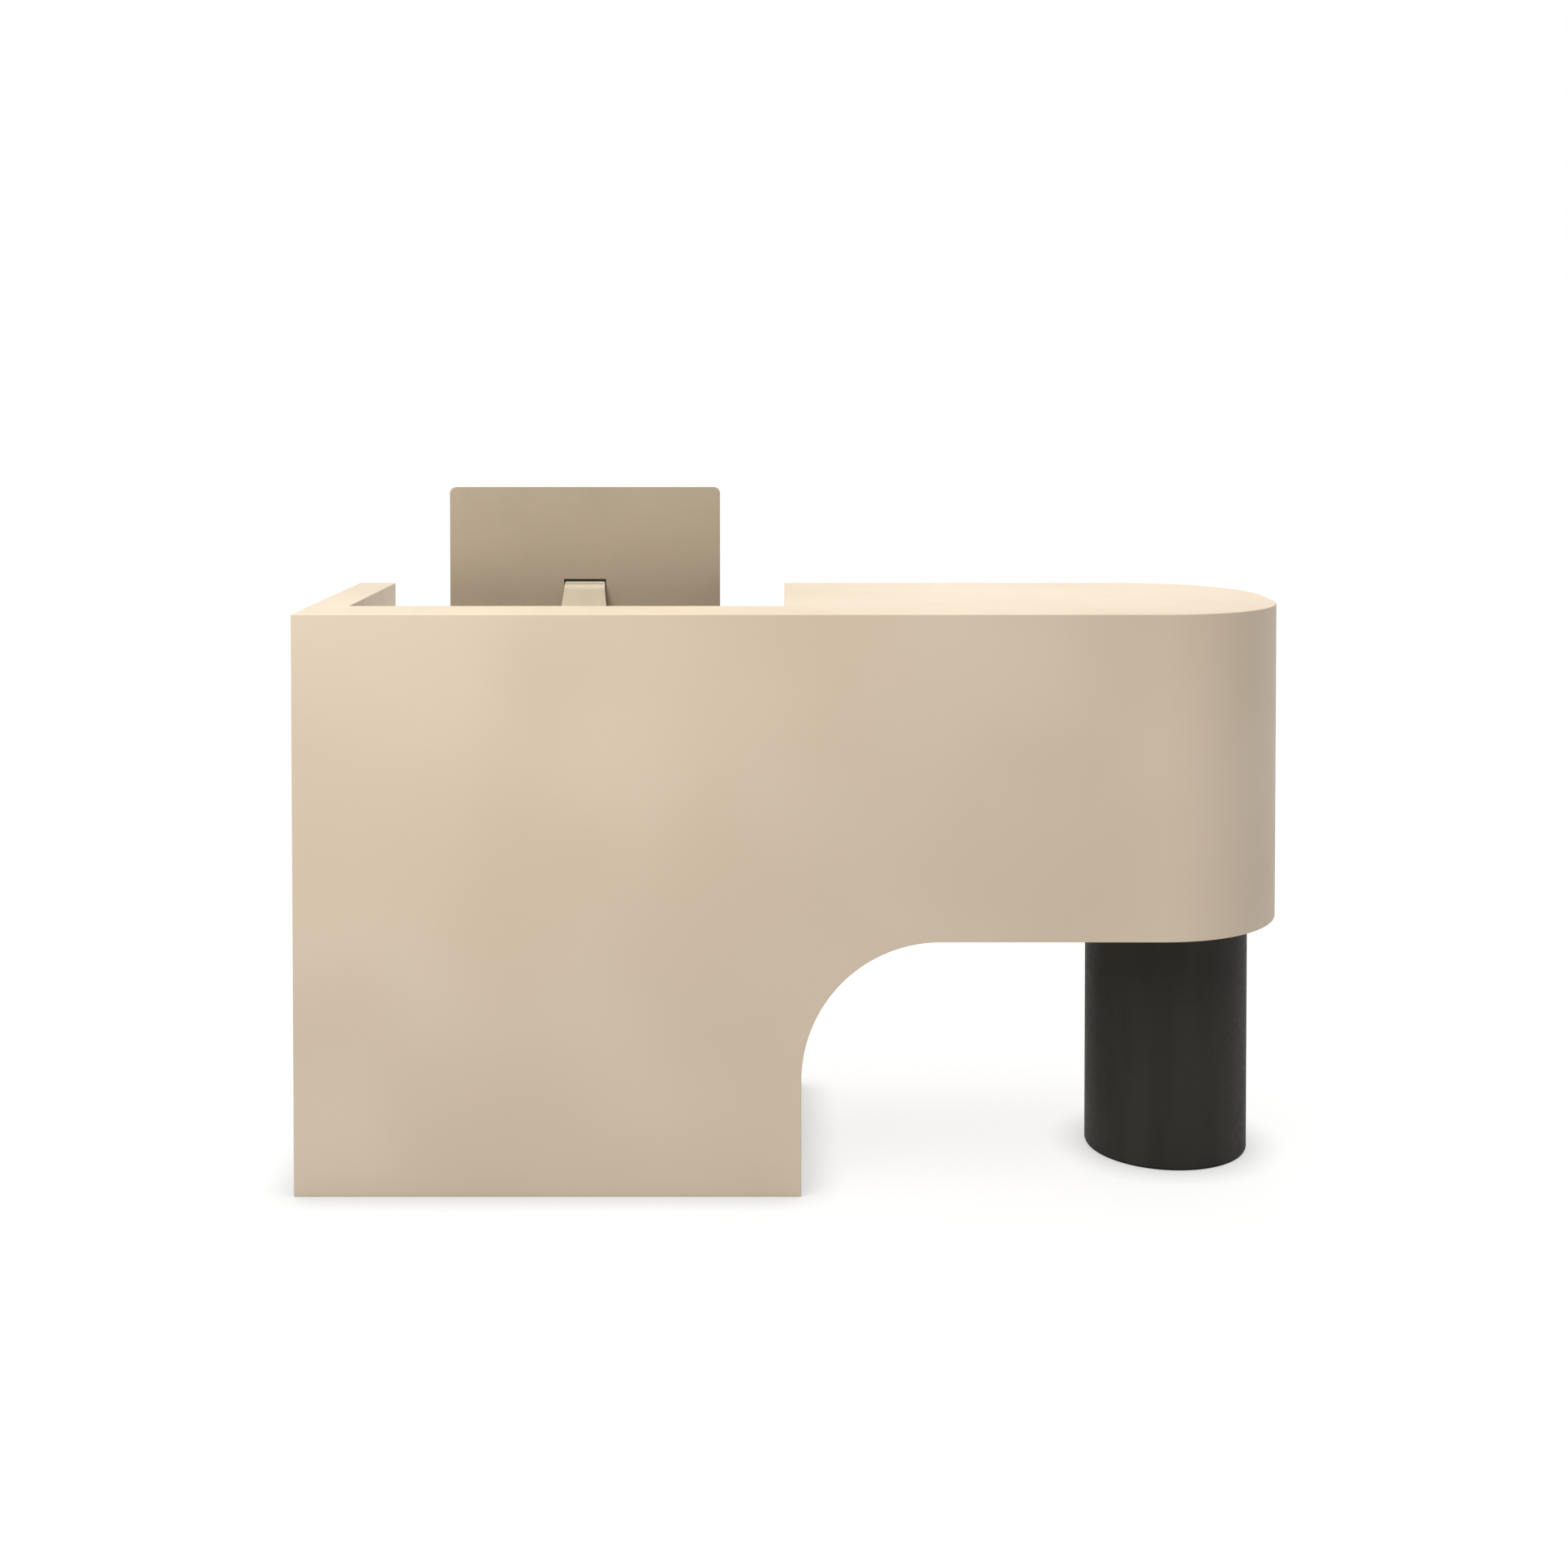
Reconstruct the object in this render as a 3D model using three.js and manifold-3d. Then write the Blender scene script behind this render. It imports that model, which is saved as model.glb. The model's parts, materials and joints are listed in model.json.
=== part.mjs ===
// A shop checkout counter. A lacquered shell stands on a full-height pedestal on the left and
// on a round column under the raised, rounded right end. An arch joins the two. Behind the
// front ledge lies a lower worktop with a till screen, and drawers, a cupboard and shelves
// open to the staff side.
// Millimetres. +X is the customer's right, +Y points to the staff side, +Z is up. The origin
// is on the floor at the middle of the counter's plan.

import * as THREE from 'three';
import { mergeVertices } from 'three/addons/utils/BufferGeometryUtils.js';
import Module from 'manifold-3d';

const wasm = await Module();
wasm.setup();

// ------------------------------------------------------------------ driving sizes

const WIDTH = 1815;
const DEPTH = 600;
const HEIGHT = 1050;
const GAP = 0.3; // left between pieces that touch
const BOARD = 18; // shell and carcass boards
const THICK_BOARD = 25; // top board and worktop
const SKIN = 11.7; // bent liner and soffit, under the raised box
const CORNER_R = 250; // plan radius of the two right-hand corners
const ARCH_R = 250;
const BOX_UNDERSIDE_Z = 460; // under the raised box
const PEDESTAL_X = 5.5; // right face of the pedestal
const DECK_X = -24.5; // left edge of the raised deck
const RETURN_WIDTH = 74; // hollow wall at the left end
const LEDGE_DEPTH = 144; // ledge behind the front panel
const WORKTOP_Z = 800;
const PLINTH_HEIGHT = 60;
const PLINTH_SETBACK = 72;
const FRONT_SETBACK = 22; // drawer and door faces, from the counter's back
const REVEAL = 2; // around each drawer front and door
const ARC_STEPS = 20; // chords in each arc of an outline
const OVERSHOOT = 1; // how far a drill or cutter passes through

const COLUMN = { x: 710, y: -25, radius: 153.5, wall: 4, plate: 6, flangeBore: 60 };
const FOOT_RING = { bore: 120, height: 3, inset: 1.5 }; // rubber, under the column
const SCREEN = { x: -415, y: 50, top: 1261, width: 528, height: 395, corner: 12.5 };
const SCREEN_SHELL = 9.7; // depth of the screen's housing
const SCREEN_GLASS = 1.5;
const SCREEN_SLOT = { halfWidth: 41, halfHeight: 9, depth: 8 }; // the stand's tongue enters it
const INLET = { right: 115, down: 140, radius: 9, socket: 6.5, depth: 6, floor: 5 };
const BUTTON = { right: 225, down: 165, radius: 5, proud: 1.2, length: 4.6 };
const BUTTON_TRAVEL = 1;
const TILT_AXIS = { y: 52.5, z: 1072, barrel: 4.5, halfLength: 38 };
const STAND_PLATE = 5;

const TOP_DRAWER_FRONT = 125; // heights of the drawer fronts
const LOWER_DRAWER_FRONT = 355;
const DRAWER_SIDE = 12;
const DRAWER_BOTTOM = 6;
const DRAWER_LENGTH = 430;
const TOP_DRAWER_SIDE = 95; // heights of the drawers' sides
const LOWER_DRAWER_SIDE = 290;
const SIDE_LIFT = 10; // sides start this far above the front's lower edge
const BOTTOM_LIFT = 6; // and the bottom this far above the sides' lower edge
const RUNNER = { height: 45, depth: 12.4, sheet: 1.5, inner: 34, lift: 30 };
const LOCK = { x: -485, drop: 32, hole: 9.8, barrel: 9.3, collar: 12, collarDepth: 3 };
const LOCK_CAM = { reach: 26, back: 5, halfHeight: 5, thickness: 2.5, behind: 8 };
const KEYWAY = { halfWidth: 1, halfHeight: 5, floor: 0.8 };
const HINGE = { radius: 4, pin: 1.6, sheet: 1.5, leaf: 16, pitch: 50 };
const KNOB = [[0, 0], [6, 0], [4.5, 2], [4.5, 8], [9.5, 13], [9.5, 18], [8, 20], [0, 20]];
const KNOB_INSET = 18; // from a door's free edge
const GROMMET = { x: -340, y: -225, bore: 27, body: 30, flange: 38, depth: 24 };
const GROMMET_LIP = 3; // height of its flange and width of the cap's ledge
const SHELF_SETBACK = 20; // the cupboard shelf's front, behind the door
const JAMB_FRONT_Y = 200;

// ------------------------------------------------------------------ derived places

const LEFT = -WIDTH / 2;
const RIGHT = WIDTH / 2;
const FRONT = -DEPTH / 2;
const BACK = DEPTH / 2;
const CORNER_X = RIGHT - CORNER_R;
const CORNER_Y = BACK - CORNER_R;
const ARCH_X = PEDESTAL_X + ARCH_R;
const ARCH_Z = BOX_UNDERSIDE_Z - ARCH_R;
const TOP_UNDERSIDE = HEIGHT - THICK_BOARD;
const PANEL_TOP = TOP_UNDERSIDE - GAP;
const INNER_FRONT = FRONT + BOARD + GAP; // boards butt against the front panel here
const INNER_BACK = BACK - BOARD - GAP; // and against the rear frame here
const RETURN_X = LEFT + RETURN_WIDTH; // inner face of the left return
const DIVIDER_RIGHT = DECK_X + BOARD;
const WORKTOP_UNDERSIDE = WORKTOP_Z - THICK_BOARD;
const PEDESTAL_FLOOR_TOP = PLINTH_HEIGHT + BOARD;
const FACE_Y = BACK - FRONT_SETBACK; // staff-side face of drawers and doors
const PARTITION_X = -440; // left face of the board between drawers and cupboard
const CUPBOARD_X = PARTITION_X + BOARD;
const BOX_FLOOR_TOP = BOX_UNDERSIDE_Z + SKIN + GAP + BOARD;
const LINER_END_X = 300;
const BOX_PARTITION_X = 227;
const BOX_DOOR_X = BOX_PARTITION_X + BOARD;
const JAMB_X = 640;
const PRINTER_SHELF_TOP = PEDESTAL_FLOOR_TOP + REVEAL + LOWER_DRAWER_FRONT + REVEAL + BOARD;

const FINISHES = {
  lacquer: { color: 0xd9c9b2, roughness: 0.5, metalness: 0 },
  melamine: { color: 0xe2d8c8, roughness: 0.6, metalness: 0 },
  drawerBoard: { color: 0xd6c8b0, roughness: 0.65, metalness: 0 },
  columnPaint: { color: 0x33312e, roughness: 0.5, metalness: 0.4 },
  steel: { color: 0xa8a9ab, roughness: 0.35, metalness: 1 },
  blackMetal: { color: 0x2b2a28, roughness: 0.4, metalness: 0.8 },
  rubber: { color: 0x1d1d1d, roughness: 0.9, metalness: 0 },
  plastic: { color: 0x3a3835, roughness: 0.6, metalness: 0 },
  screenShell: { color: 0xbba992, roughness: 0.4, metalness: 0.5 },
  screenStand: { color: 0xb9b1a5, roughness: 0.35, metalness: 0.9 },
  glass: { color: 0x101114, roughness: 0.1, metalness: 0 },
};

// ------------------------------------------------------------------ shape helpers

function box([x0, x1], [y0, y1], [z0, z1]) {
  const geometry = new THREE.BoxGeometry(x1 - x0, y1 - y0, z1 - z0);
  return geometry.translate((x0 + x1) / 2, (y0 + y1) / 2, (z0 + z1) / 2);
}

// Arcs become chords here, and points that coincide are dropped.
function outlineOf(shape) {
  const points = shape.getPoints(ARC_STEPS);
  const distinct = points.filter((point, i) => point.distanceTo(points.at(i - 1)) > 0.001);
  return new THREE.Shape(distinct);
}

function extrude(shape, depth) {
  return new THREE.ExtrudeGeometry(outlineOf(shape), { depth, bevelEnabled: false });
}

// A plan outline in X and Y, standing from z0 to z1.
function fromPlan(shape, [z0, z1]) {
  return extrude(shape, z1 - z0).translate(0, 0, z0);
}

// An elevation outline in X and Z, from y0 back to y1.
function fromElevation(shape, [y0, y1]) {
  return extrude(shape, y1 - y0).rotateX(Math.PI / 2).translate(0, y1, 0);
}

// A side outline in Y and Z, from x0 across to x1.
function fromSide(shape, [x0, x1]) {
  const yzx = new THREE.Matrix4().makeBasis(
    new THREE.Vector3(0, 1, 0),
    new THREE.Vector3(0, 0, 1),
    new THREE.Vector3(1, 0, 0),
  );
  return extrude(shape, x1 - x0).applyMatrix4(yzx).translate(x0, 0, 0);
}

function polygon(points) {
  return new THREE.Shape(points.map(([a, b]) => new THREE.Vector2(a, b)));
}

function roundedRectangle(width, height, radius) {
  const w = width / 2;
  const h = height / 2;
  const shape = new THREE.Shape();
  shape.absarc(w - radius, h - radius, radius, 0, Math.PI / 2, false);
  shape.absarc(radius - w, h - radius, radius, Math.PI / 2, Math.PI, false);
  shape.absarc(radius - w, radius - h, radius, Math.PI, 1.5 * Math.PI, false);
  shape.absarc(w - radius, radius - h, radius, 1.5 * Math.PI, 2 * Math.PI, false);
  return shape;
}

// A strip of even thickness along a bent line.
function ribbon(line, thickness) {
  const near = [];
  const far = [];
  line.forEach((point, i) => {
    const before = line[Math.max(i - 1, 0)];
    const after = line[Math.min(i + 1, line.length - 1)];
    const along = after.clone().sub(before).normalize();
    const across = new THREE.Vector2(-along.y, along.x).multiplyScalar(thickness / 2);
    near.push(point.clone().add(across));
    far.unshift(point.clone().sub(across));
  });
  return new THREE.Shape([...near, ...far]);
}

// A cylinder between two points on a line along 'x', 'y' or 'z'.
function rod(axis, radius, [x, y, z], length, sides) {
  const geometry = new THREE.CylinderGeometry(radius, radius, length, sides);
  if (axis === 'x') geometry.rotateZ(-Math.PI / 2).translate(length / 2, 0, 0);
  if (axis === 'y') geometry.translate(0, length / 2, 0);
  if (axis === 'z') geometry.rotateX(Math.PI / 2).translate(0, 0, length / 2);
  return geometry.translate(x, y, z);
}

function turned(profile, sides) {
  return new THREE.LatheGeometry(profile.map(([r, h]) => new THREE.Vector2(r, h)), sides);
}

function ring(inner, outer, [z0, z1], sides) {
  const profile = [[inner, z0], [outer, z0], [outer, z1], [inner, z1], [inner, z0]];
  return turned(profile, sides).rotateX(Math.PI / 2);
}

function toSolid(geometry) {
  const bare = geometry.clone();
  bare.deleteAttribute('normal');
  bare.deleteAttribute('uv');
  const merged = mergeVertices(bare);
  return new wasm.Manifold(new wasm.Mesh({
    numProp: 3,
    vertProperties: new Float32Array(merged.attributes.position.array),
    triVerts: new Uint32Array(merged.index.array),
  }));
}

function toGeometry(solid) {
  const mesh = solid.getMesh();
  const geometry = new THREE.BufferGeometry();
  geometry.setAttribute('position', new THREE.BufferAttribute(mesh.vertProperties, 3));
  geometry.setIndex(new THREE.BufferAttribute(mesh.triVerts, 1));
  geometry.computeVertexNormals();
  return geometry;
}

function cut(geometry, ...tools) {
  const solid = tools.reduce((rest, tool) => rest.subtract(toSolid(tool)), toSolid(geometry));
  return toGeometry(solid);
}

function join(...geometries) {
  return toGeometry(geometries.map(toSolid).reduce((whole, piece) => whole.add(piece)));
}

function common(a, b) {
  return toGeometry(toSolid(a).intersect(toSolid(b)));
}

function add(group, name, geometry, finish) {
  const mesh = new THREE.Mesh(geometry, new THREE.MeshStandardMaterial(FINISHES[finish]));
  mesh.name = name;
  group.add(mesh);
  return mesh;
}

function addBoard(group, name, xs, ys, zs, finish) {
  return add(group, name, box(xs, ys, zs), finish);
}

// ------------------------------------------------------------------ shell

// The raised box's plan, drawn in by an inset, from a left-hand x to the rounded right end.
function boxPlan(left, inset) {
  const radius = CORNER_R - inset;
  const shape = new THREE.Shape();
  shape.moveTo(left, FRONT + inset);
  shape.lineTo(CORNER_X, FRONT + inset);
  shape.absarc(CORNER_X, -CORNER_Y, radius, -Math.PI / 2, 0, false);
  shape.lineTo(RIGHT - inset, CORNER_Y);
  shape.absarc(CORNER_X, CORNER_Y, radius, 0, Math.PI / 2, false);
  shape.lineTo(left, BACK - inset);
  return shape;
}

// Left return, front ledge and raised deck in one board, with the worktop's well left open.
function topBoard() {
  const well = box(
    [RETURN_X, DECK_X],
    [FRONT + LEDGE_DEPTH, BACK + BOARD],
    [TOP_UNDERSIDE - BOARD, HEIGHT + BOARD],
  );
  return cut(fromPlan(boxPlan(LEFT, 0), [TOP_UNDERSIDE, HEIGHT]), well);
}

// The pedestal's foot, the arch and the raised box's underside, walked from left to right.
function traceArch(shape, rightEnd) {
  shape.lineTo(PEDESTAL_X, 0);
  shape.lineTo(PEDESTAL_X, ARCH_Z);
  shape.absarc(ARCH_X, ARCH_Z, ARCH_R, Math.PI, Math.PI / 2, true);
  shape.lineTo(rightEnd, BOX_UNDERSIDE_Z);
}

function frontPanel() {
  const end = CORNER_X - GAP;
  const shape = new THREE.Shape();
  shape.moveTo(LEFT, 0);
  traceArch(shape, end);
  shape.lineTo(end, PANEL_TOP);
  shape.lineTo(LEFT, PANEL_TOP);
  return fromElevation(shape, [FRONT, FRONT + BOARD]);
}

// Stiles and bottom rail round the raised box's openings, with the arch's outline below.
function rearFrame() {
  const end = CORNER_X - GAP;
  const shape = new THREE.Shape();
  shape.moveTo(DECK_X, 0);
  traceArch(shape, end);
  shape.lineTo(end, PANEL_TOP);
  shape.lineTo(JAMB_X, PANEL_TOP);
  shape.lineTo(JAMB_X, BOX_FLOOR_TOP);
  shape.lineTo(PEDESTAL_X, BOX_FLOOR_TOP);
  shape.lineTo(PEDESTAL_X, PANEL_TOP);
  shape.lineTo(DECK_X, PANEL_TOP);
  return fromElevation(shape, [BACK - BOARD, BACK]);
}

function endWrap() {
  const inner = CORNER_R - BOARD;
  const shape = new THREE.Shape();
  shape.moveTo(CORNER_X, FRONT);
  shape.absarc(CORNER_X, -CORNER_Y, CORNER_R, -Math.PI / 2, 0, false);
  shape.absarc(CORNER_X, CORNER_Y, CORNER_R, 0, Math.PI / 2, false);
  shape.absarc(CORNER_X, CORNER_Y, inner, Math.PI / 2, 0, true);
  shape.absarc(CORNER_X, -CORNER_Y, inner, 0, -Math.PI / 2, true);
  return fromPlan(shape, [BOX_UNDERSIDE_Z, PANEL_TOP]);
}

// A bent skin up the pedestal's side, round the arch and a little way under the box.
function archLiner() {
  const top = BOX_UNDERSIDE_Z + SKIN;
  const shape = new THREE.Shape();
  shape.moveTo(PEDESTAL_X - SKIN, 0);
  traceArch(shape, LINER_END_X);
  shape.lineTo(LINER_END_X, top);
  shape.lineTo(ARCH_X, top);
  shape.absarc(ARCH_X, ARCH_Z, ARCH_R + SKIN, Math.PI / 2, Math.PI, false);
  return fromElevation(shape, [INNER_FRONT, INNER_BACK]);
}

function buildShell() {
  const group = new THREE.Group();
  add(group, 'top_board', topBoard(), 'lacquer');
  add(group, 'front_panel', frontPanel(), 'lacquer');
  add(group, 'end_wrap', endWrap(), 'lacquer');
  add(group, 'rear_frame', rearFrame(), 'lacquer');
  add(group, 'arch_liner', archLiner(), 'lacquer');
  const soffit = boxPlan(LINER_END_X + GAP, BOARD + GAP);
  const soffitTop = BOX_UNDERSIDE_Z + SKIN;
  add(group, 'soffit_panel', fromPlan(soffit, [BOX_UNDERSIDE_Z, soffitTop]), 'lacquer');

  const height = [0, PANEL_TOP];
  const depth = [INNER_FRONT, BACK];
  addBoard(group, 'return_outer_panel', [LEFT, LEFT + BOARD], depth, height, 'lacquer');
  addBoard(group, 'return_inner_panel', [RETURN_X - BOARD, RETURN_X], depth, height, 'lacquer');
  const capXs = [LEFT + BOARD + GAP, RETURN_X - BOARD - GAP];
  addBoard(group, 'return_end_cap', capXs, [BACK - BOARD, BACK], height, 'lacquer');
  const dividerYs = [INNER_FRONT, INNER_BACK];
  addBoard(group, 'divider_panel', [DECK_X, DIVIDER_RIGHT], dividerYs, height, 'lacquer');
  return group;
}

// ------------------------------------------------------------------ carcass inside

function buildCarcass() {
  const group = new THREE.Group();
  const bay = [RETURN_X + GAP, DECK_X - GAP];
  const boardYs = [INNER_FRONT, FACE_Y];

  const holeFoot = [GROMMET.x, GROMMET.y, WORKTOP_UNDERSIDE - OVERSHOOT];
  const holeDepth = THICK_BOARD + 2 * OVERSHOOT;
  const grommetHole = rod('z', GROMMET.body + GAP, holeFoot, holeDepth, 32);
  const worktop = box(bay, [INNER_FRONT, BACK], [WORKTOP_UNDERSIDE, WORKTOP_Z]);
  add(group, 'worktop', cut(worktop, grommetHole), 'melamine');

  const floorZs = [PLINTH_HEIGHT, PEDESTAL_FLOOR_TOP];
  addBoard(group, 'pedestal_floor', bay, boardYs, floorZs, 'melamine');
  const plinthYs = [BACK - PLINTH_SETBACK - BOARD, BACK - PLINTH_SETBACK];
  addBoard(group, 'plinth_rail', bay, plinthYs, [0, PLINTH_HEIGHT - GAP], 'lacquer');
  const uprightZs = [PEDESTAL_FLOOR_TOP + GAP, WORKTOP_UNDERSIDE - GAP];
  const partitionXs = [PARTITION_X, CUPBOARD_X];
  addBoard(group, 'partition_panel', partitionXs, boardYs, uprightZs, 'melamine');

  const printerZs = [PRINTER_SHELF_TOP - BOARD, PRINTER_SHELF_TOP];
  const printerXs = [RETURN_X + GAP, PARTITION_X - GAP];
  addBoard(group, 'printer_shelf', printerXs, boardYs, printerZs, 'melamine');
  const cupboardXs = [CUPBOARD_X + GAP, DECK_X - GAP];
  const shelfMid = (PEDESTAL_FLOOR_TOP + WORKTOP_UNDERSIDE) / 2;
  const shelfYs = [INNER_FRONT, FACE_Y - BOARD - REVEAL - SHELF_SETBACK];
  const shelfZs = [shelfMid, shelfMid + BOARD];
  addBoard(group, 'cupboard_shelf', cupboardXs, shelfYs, shelfZs, 'melamine');

  const boxFloor = boxPlan(DIVIDER_RIGHT + GAP, BOARD + GAP);
  add(group, 'box_floor', fromPlan(boxFloor, [BOX_FLOOR_TOP - BOARD, BOX_FLOOR_TOP]), 'melamine');
  const boxZs = [BOX_FLOOR_TOP + GAP, PANEL_TOP];
  const boxPartitionXs = [BOX_PARTITION_X, BOX_DOOR_X];
  addBoard(group, 'box_partition', boxPartitionXs, [INNER_FRONT, BACK], boxZs, 'melamine');
  const jambYs = [JAMB_FRONT_Y, INNER_BACK];
  addBoard(group, 'box_jamb', [JAMB_X, CORNER_X - GAP], jambYs, boxZs, 'melamine');
  const nicheXs = [DIVIDER_RIGHT + GAP, BOX_PARTITION_X - GAP];
  const nicheMid = (BOX_FLOOR_TOP + TOP_UNDERSIDE) / 2;
  addBoard(group, 'niche_shelf', nicheXs, boardYs, [nicheMid, nicheMid + BOARD], 'melamine');
  return group;
}

function buildColumn() {
  const group = new THREE.Group();
  group.position.set(COLUMN.x, COLUMN.y, 0);
  const inner = COLUMN.radius - COLUMN.wall;
  const fit = inner - GAP;
  const bottom = FOOT_RING.height + GAP;
  const top = BOX_UNDERSIDE_Z - GAP;
  add(group, 'column_tube', ring(inner, COLUMN.radius, [bottom, top], 64), 'columnPaint');
  const rim = COLUMN.radius - FOOT_RING.inset;
  const footRing = ring(FOOT_RING.bore, rim, [0, FOOT_RING.height], 64);
  add(group, 'column_foot_ring', footRing, 'rubber');
  const plate = new THREE.CylinderGeometry(fit, fit, COLUMN.plate, 48).rotateX(Math.PI / 2);
  add(group, 'column_base_plate', plate.translate(0, 0, bottom + COLUMN.plate / 2), 'steel');
  const flange = ring(COLUMN.flangeBore, fit, [top - COLUMN.plate, top], 48);
  add(group, 'column_top_flange', flange, 'steel');
  return group;
}

// A plastic sleeve through the worktop, with a shoulder that carries its turning cap.
function buildGrommet() {
  const group = new THREE.Group();
  group.position.set(GROMMET.x, GROMMET.y, WORKTOP_Z);
  const { bore, body, flange, depth } = GROMMET;
  const lip = GROMMET_LIP;
  const ledge = bore - lip;
  const sleeve = [
    [bore, -depth], [body, -depth], [body, GAP], [flange, GAP], [flange - 1, lip],
    [bore, lip], [bore, -lip], [ledge, -lip], [ledge, -5], [bore, -5], [bore, -depth],
  ];
  add(group, 'cable_grommet', turned(sleeve, 32).rotateX(Math.PI / 2), 'plastic');
  const disc = rod('z', bore - GAP, [0, 0, GAP - lip], 5, 32);
  const slot = box([12, bore + 3], [-8, 8], [-6, 6]);
  add(group, 'grommet_cap', cut(disc, slot), 'plastic');
  return group;
}

// ------------------------------------------------------------------ drawers

// A channel along Y, open on the side that 'facing' (+1 or -1) points to.
function channel(webX, facing, depth, height, z) {
  const sheet = RUNNER.sheet;
  const h = height / 2;
  const outline = [
    [0, -h], [depth, -h], [depth, sheet - h], [sheet, sheet - h],
    [sheet, h - sheet], [depth, h - sheet], [depth, h], [0, h],
  ];
  const shape = polygon(outline.map(([x, dz]) => [webX + facing * x, z + dz]));
  return fromElevation(shape, [FACE_Y - BOARD - GAP - DRAWER_LENGTH, FACE_Y - BOARD - GAP]);
}

function knob(x, z) {
  return turned(KNOB, 24).translate(x, FACE_Y + GAP, z);
}

// Fixed rails on the bay's two walls, and the drawer's own rails nested in them.
function addRunners(group, drawer, name, z) {
  const walls = [[RETURN_X + GAP, 1, 'left'], [PARTITION_X - GAP, -1, 'right']];
  for (const [wall, inward, side] of walls) {
    const fixed = channel(wall, inward, RUNNER.depth - 2, RUNNER.height, z);
    add(group, `${name}_rail_${side}`, fixed, 'steel');
    const web = wall + inward * (RUNNER.depth - GAP);
    const moving = channel(web, -inward, RUNNER.depth - 3.5, RUNNER.inner, z);
    add(drawer, `${name}_runner_${side}`, moving, 'steel');
  }
}

// A drawer behind a front that stands between two heights, less the holes drilled in it.
function buildDrawer(group, name, [frontZ, frontTop], sideHeight, ...holes) {
  const drawer = new THREE.Group();
  group.add(drawer);
  const xs = [RETURN_X + REVEAL, PARTITION_X - REVEAL];
  const front = box(xs, [FACE_Y - BOARD, FACE_Y], [frontZ, frontTop]);
  add(drawer, `${name}_front`, cut(front, ...holes), 'lacquer');

  const backOfFront = FACE_Y - BOARD - GAP;
  const ys = [backOfFront - DRAWER_LENGTH, backOfFront];
  const left = RETURN_X + RUNNER.depth + 2 * GAP;
  const right = PARTITION_X - RUNNER.depth - 2 * GAP;
  const z0 = frontZ + SIDE_LIFT;
  const sideZs = [z0, z0 + sideHeight];
  addBoard(drawer, `${name}_left_side`, [left, left + DRAWER_SIDE], ys, sideZs, 'drawerBoard');
  addBoard(drawer, `${name}_right_side`, [right - DRAWER_SIDE, right], ys, sideZs, 'drawerBoard');
  const between = [left + DRAWER_SIDE + GAP, right - DRAWER_SIDE - GAP];
  const backYs = [ys[0], ys[0] + DRAWER_SIDE];
  addBoard(drawer, `${name}_back`, between, backYs, sideZs, 'drawerBoard');
  const bottomYs = [backYs[1] + GAP, ys[1]];
  const bottomZ = z0 + BOTTOM_LIFT;
  const bottomZs = [bottomZ, bottomZ + DRAWER_BOTTOM];
  addBoard(drawer, `${name}_bottom`, between, bottomYs, bottomZs, 'drawerBoard');
  add(drawer, `${name}_pull`, knob((xs[0] + xs[1]) / 2, (frontZ + frontTop) / 2), 'blackMetal');
  addRunners(group, drawer, name, z0 + RUNNER.lift);
}

// A key cylinder with its collar outside the front and a cam inside.
function lockCylinder(z) {
  const { x } = LOCK;
  const camBack = FACE_Y - BOARD - LOCK_CAM.behind;
  const camFront = camBack + LOCK_CAM.thickness;
  const collar = rod('y', LOCK.collar, [x, FACE_Y + GAP, z], LOCK.collarDepth, 24);
  // The barrel reaches a little into the cam behind it and the collar before it.
  const barrelBack = camFront - 0.5;
  const barrel = rod('y', LOCK.barrel, [x, barrelBack, z], FACE_Y + 0.5 - barrelBack, 24);
  const { halfWidth, halfHeight, floor } = KEYWAY;
  const keywayYs = [FACE_Y + floor, FACE_Y + LOCK.collarDepth + OVERSHOOT];
  const keyway = box([x - halfWidth, x + halfWidth], keywayYs, [z - halfHeight, z + halfHeight]);
  const camZs = [z - LOCK_CAM.halfHeight, z + LOCK_CAM.halfHeight];
  const cam = box([x - LOCK_CAM.reach, x + LOCK_CAM.back], [camBack, camFront], camZs);
  return cut(join(barrel, collar, cam), keyway);
}

function buildDrawers() {
  const group = new THREE.Group();
  const frontTop = WORKTOP_UNDERSIDE - 1.5 * REVEAL;
  const lockZ = frontTop - LOCK.drop;
  const holeBack = [LOCK.x, FACE_Y - BOARD - OVERSHOOT, lockZ];
  const lockHole = rod('y', LOCK.hole, holeBack, BOARD + 2 * OVERSHOOT, 24);
  const topZs = [frontTop - TOP_DRAWER_FRONT, frontTop];
  buildDrawer(group, 'top_drawer', topZs, TOP_DRAWER_SIDE, lockHole);
  add(group, 'drawer_lock', lockCylinder(lockZ), 'steel');
  const lowerZ = PEDESTAL_FLOOR_TOP + REVEAL;
  const lowerZs = [lowerZ, lowerZ + LOWER_DRAWER_FRONT];
  buildDrawer(group, 'lower_drawer', lowerZs, LOWER_DRAWER_SIDE);
  return group;
}

// ------------------------------------------------------------------ doors

// One leaf of a piano hinge. Its plate stands at plateX, and its knuckles take every second
// place, from the first place or the second.
function hingeLeaf(plateX, axis, [z0, z1], firstPlace, places) {
  const leafYs = [FACE_Y - HINGE.leaf, FACE_Y - 0.1];
  const parts = [box([plateX, plateX + HINGE.sheet], leafYs, [z0, z1])];
  const pitch = (z1 - z0) / places;
  for (let place = firstPlace; place < places; place += 2) {
    const low = z0 + place * pitch + GAP;
    const length = pitch - 2 * GAP;
    parts.push(rod('z', HINGE.radius, [axis.x, axis.y, low], length, 12));
    parts.push(box([plateX, plateX + HINGE.sheet], [FACE_Y - 1, axis.y], [low, low + length]));
  }
  return join(...parts);
}

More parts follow.
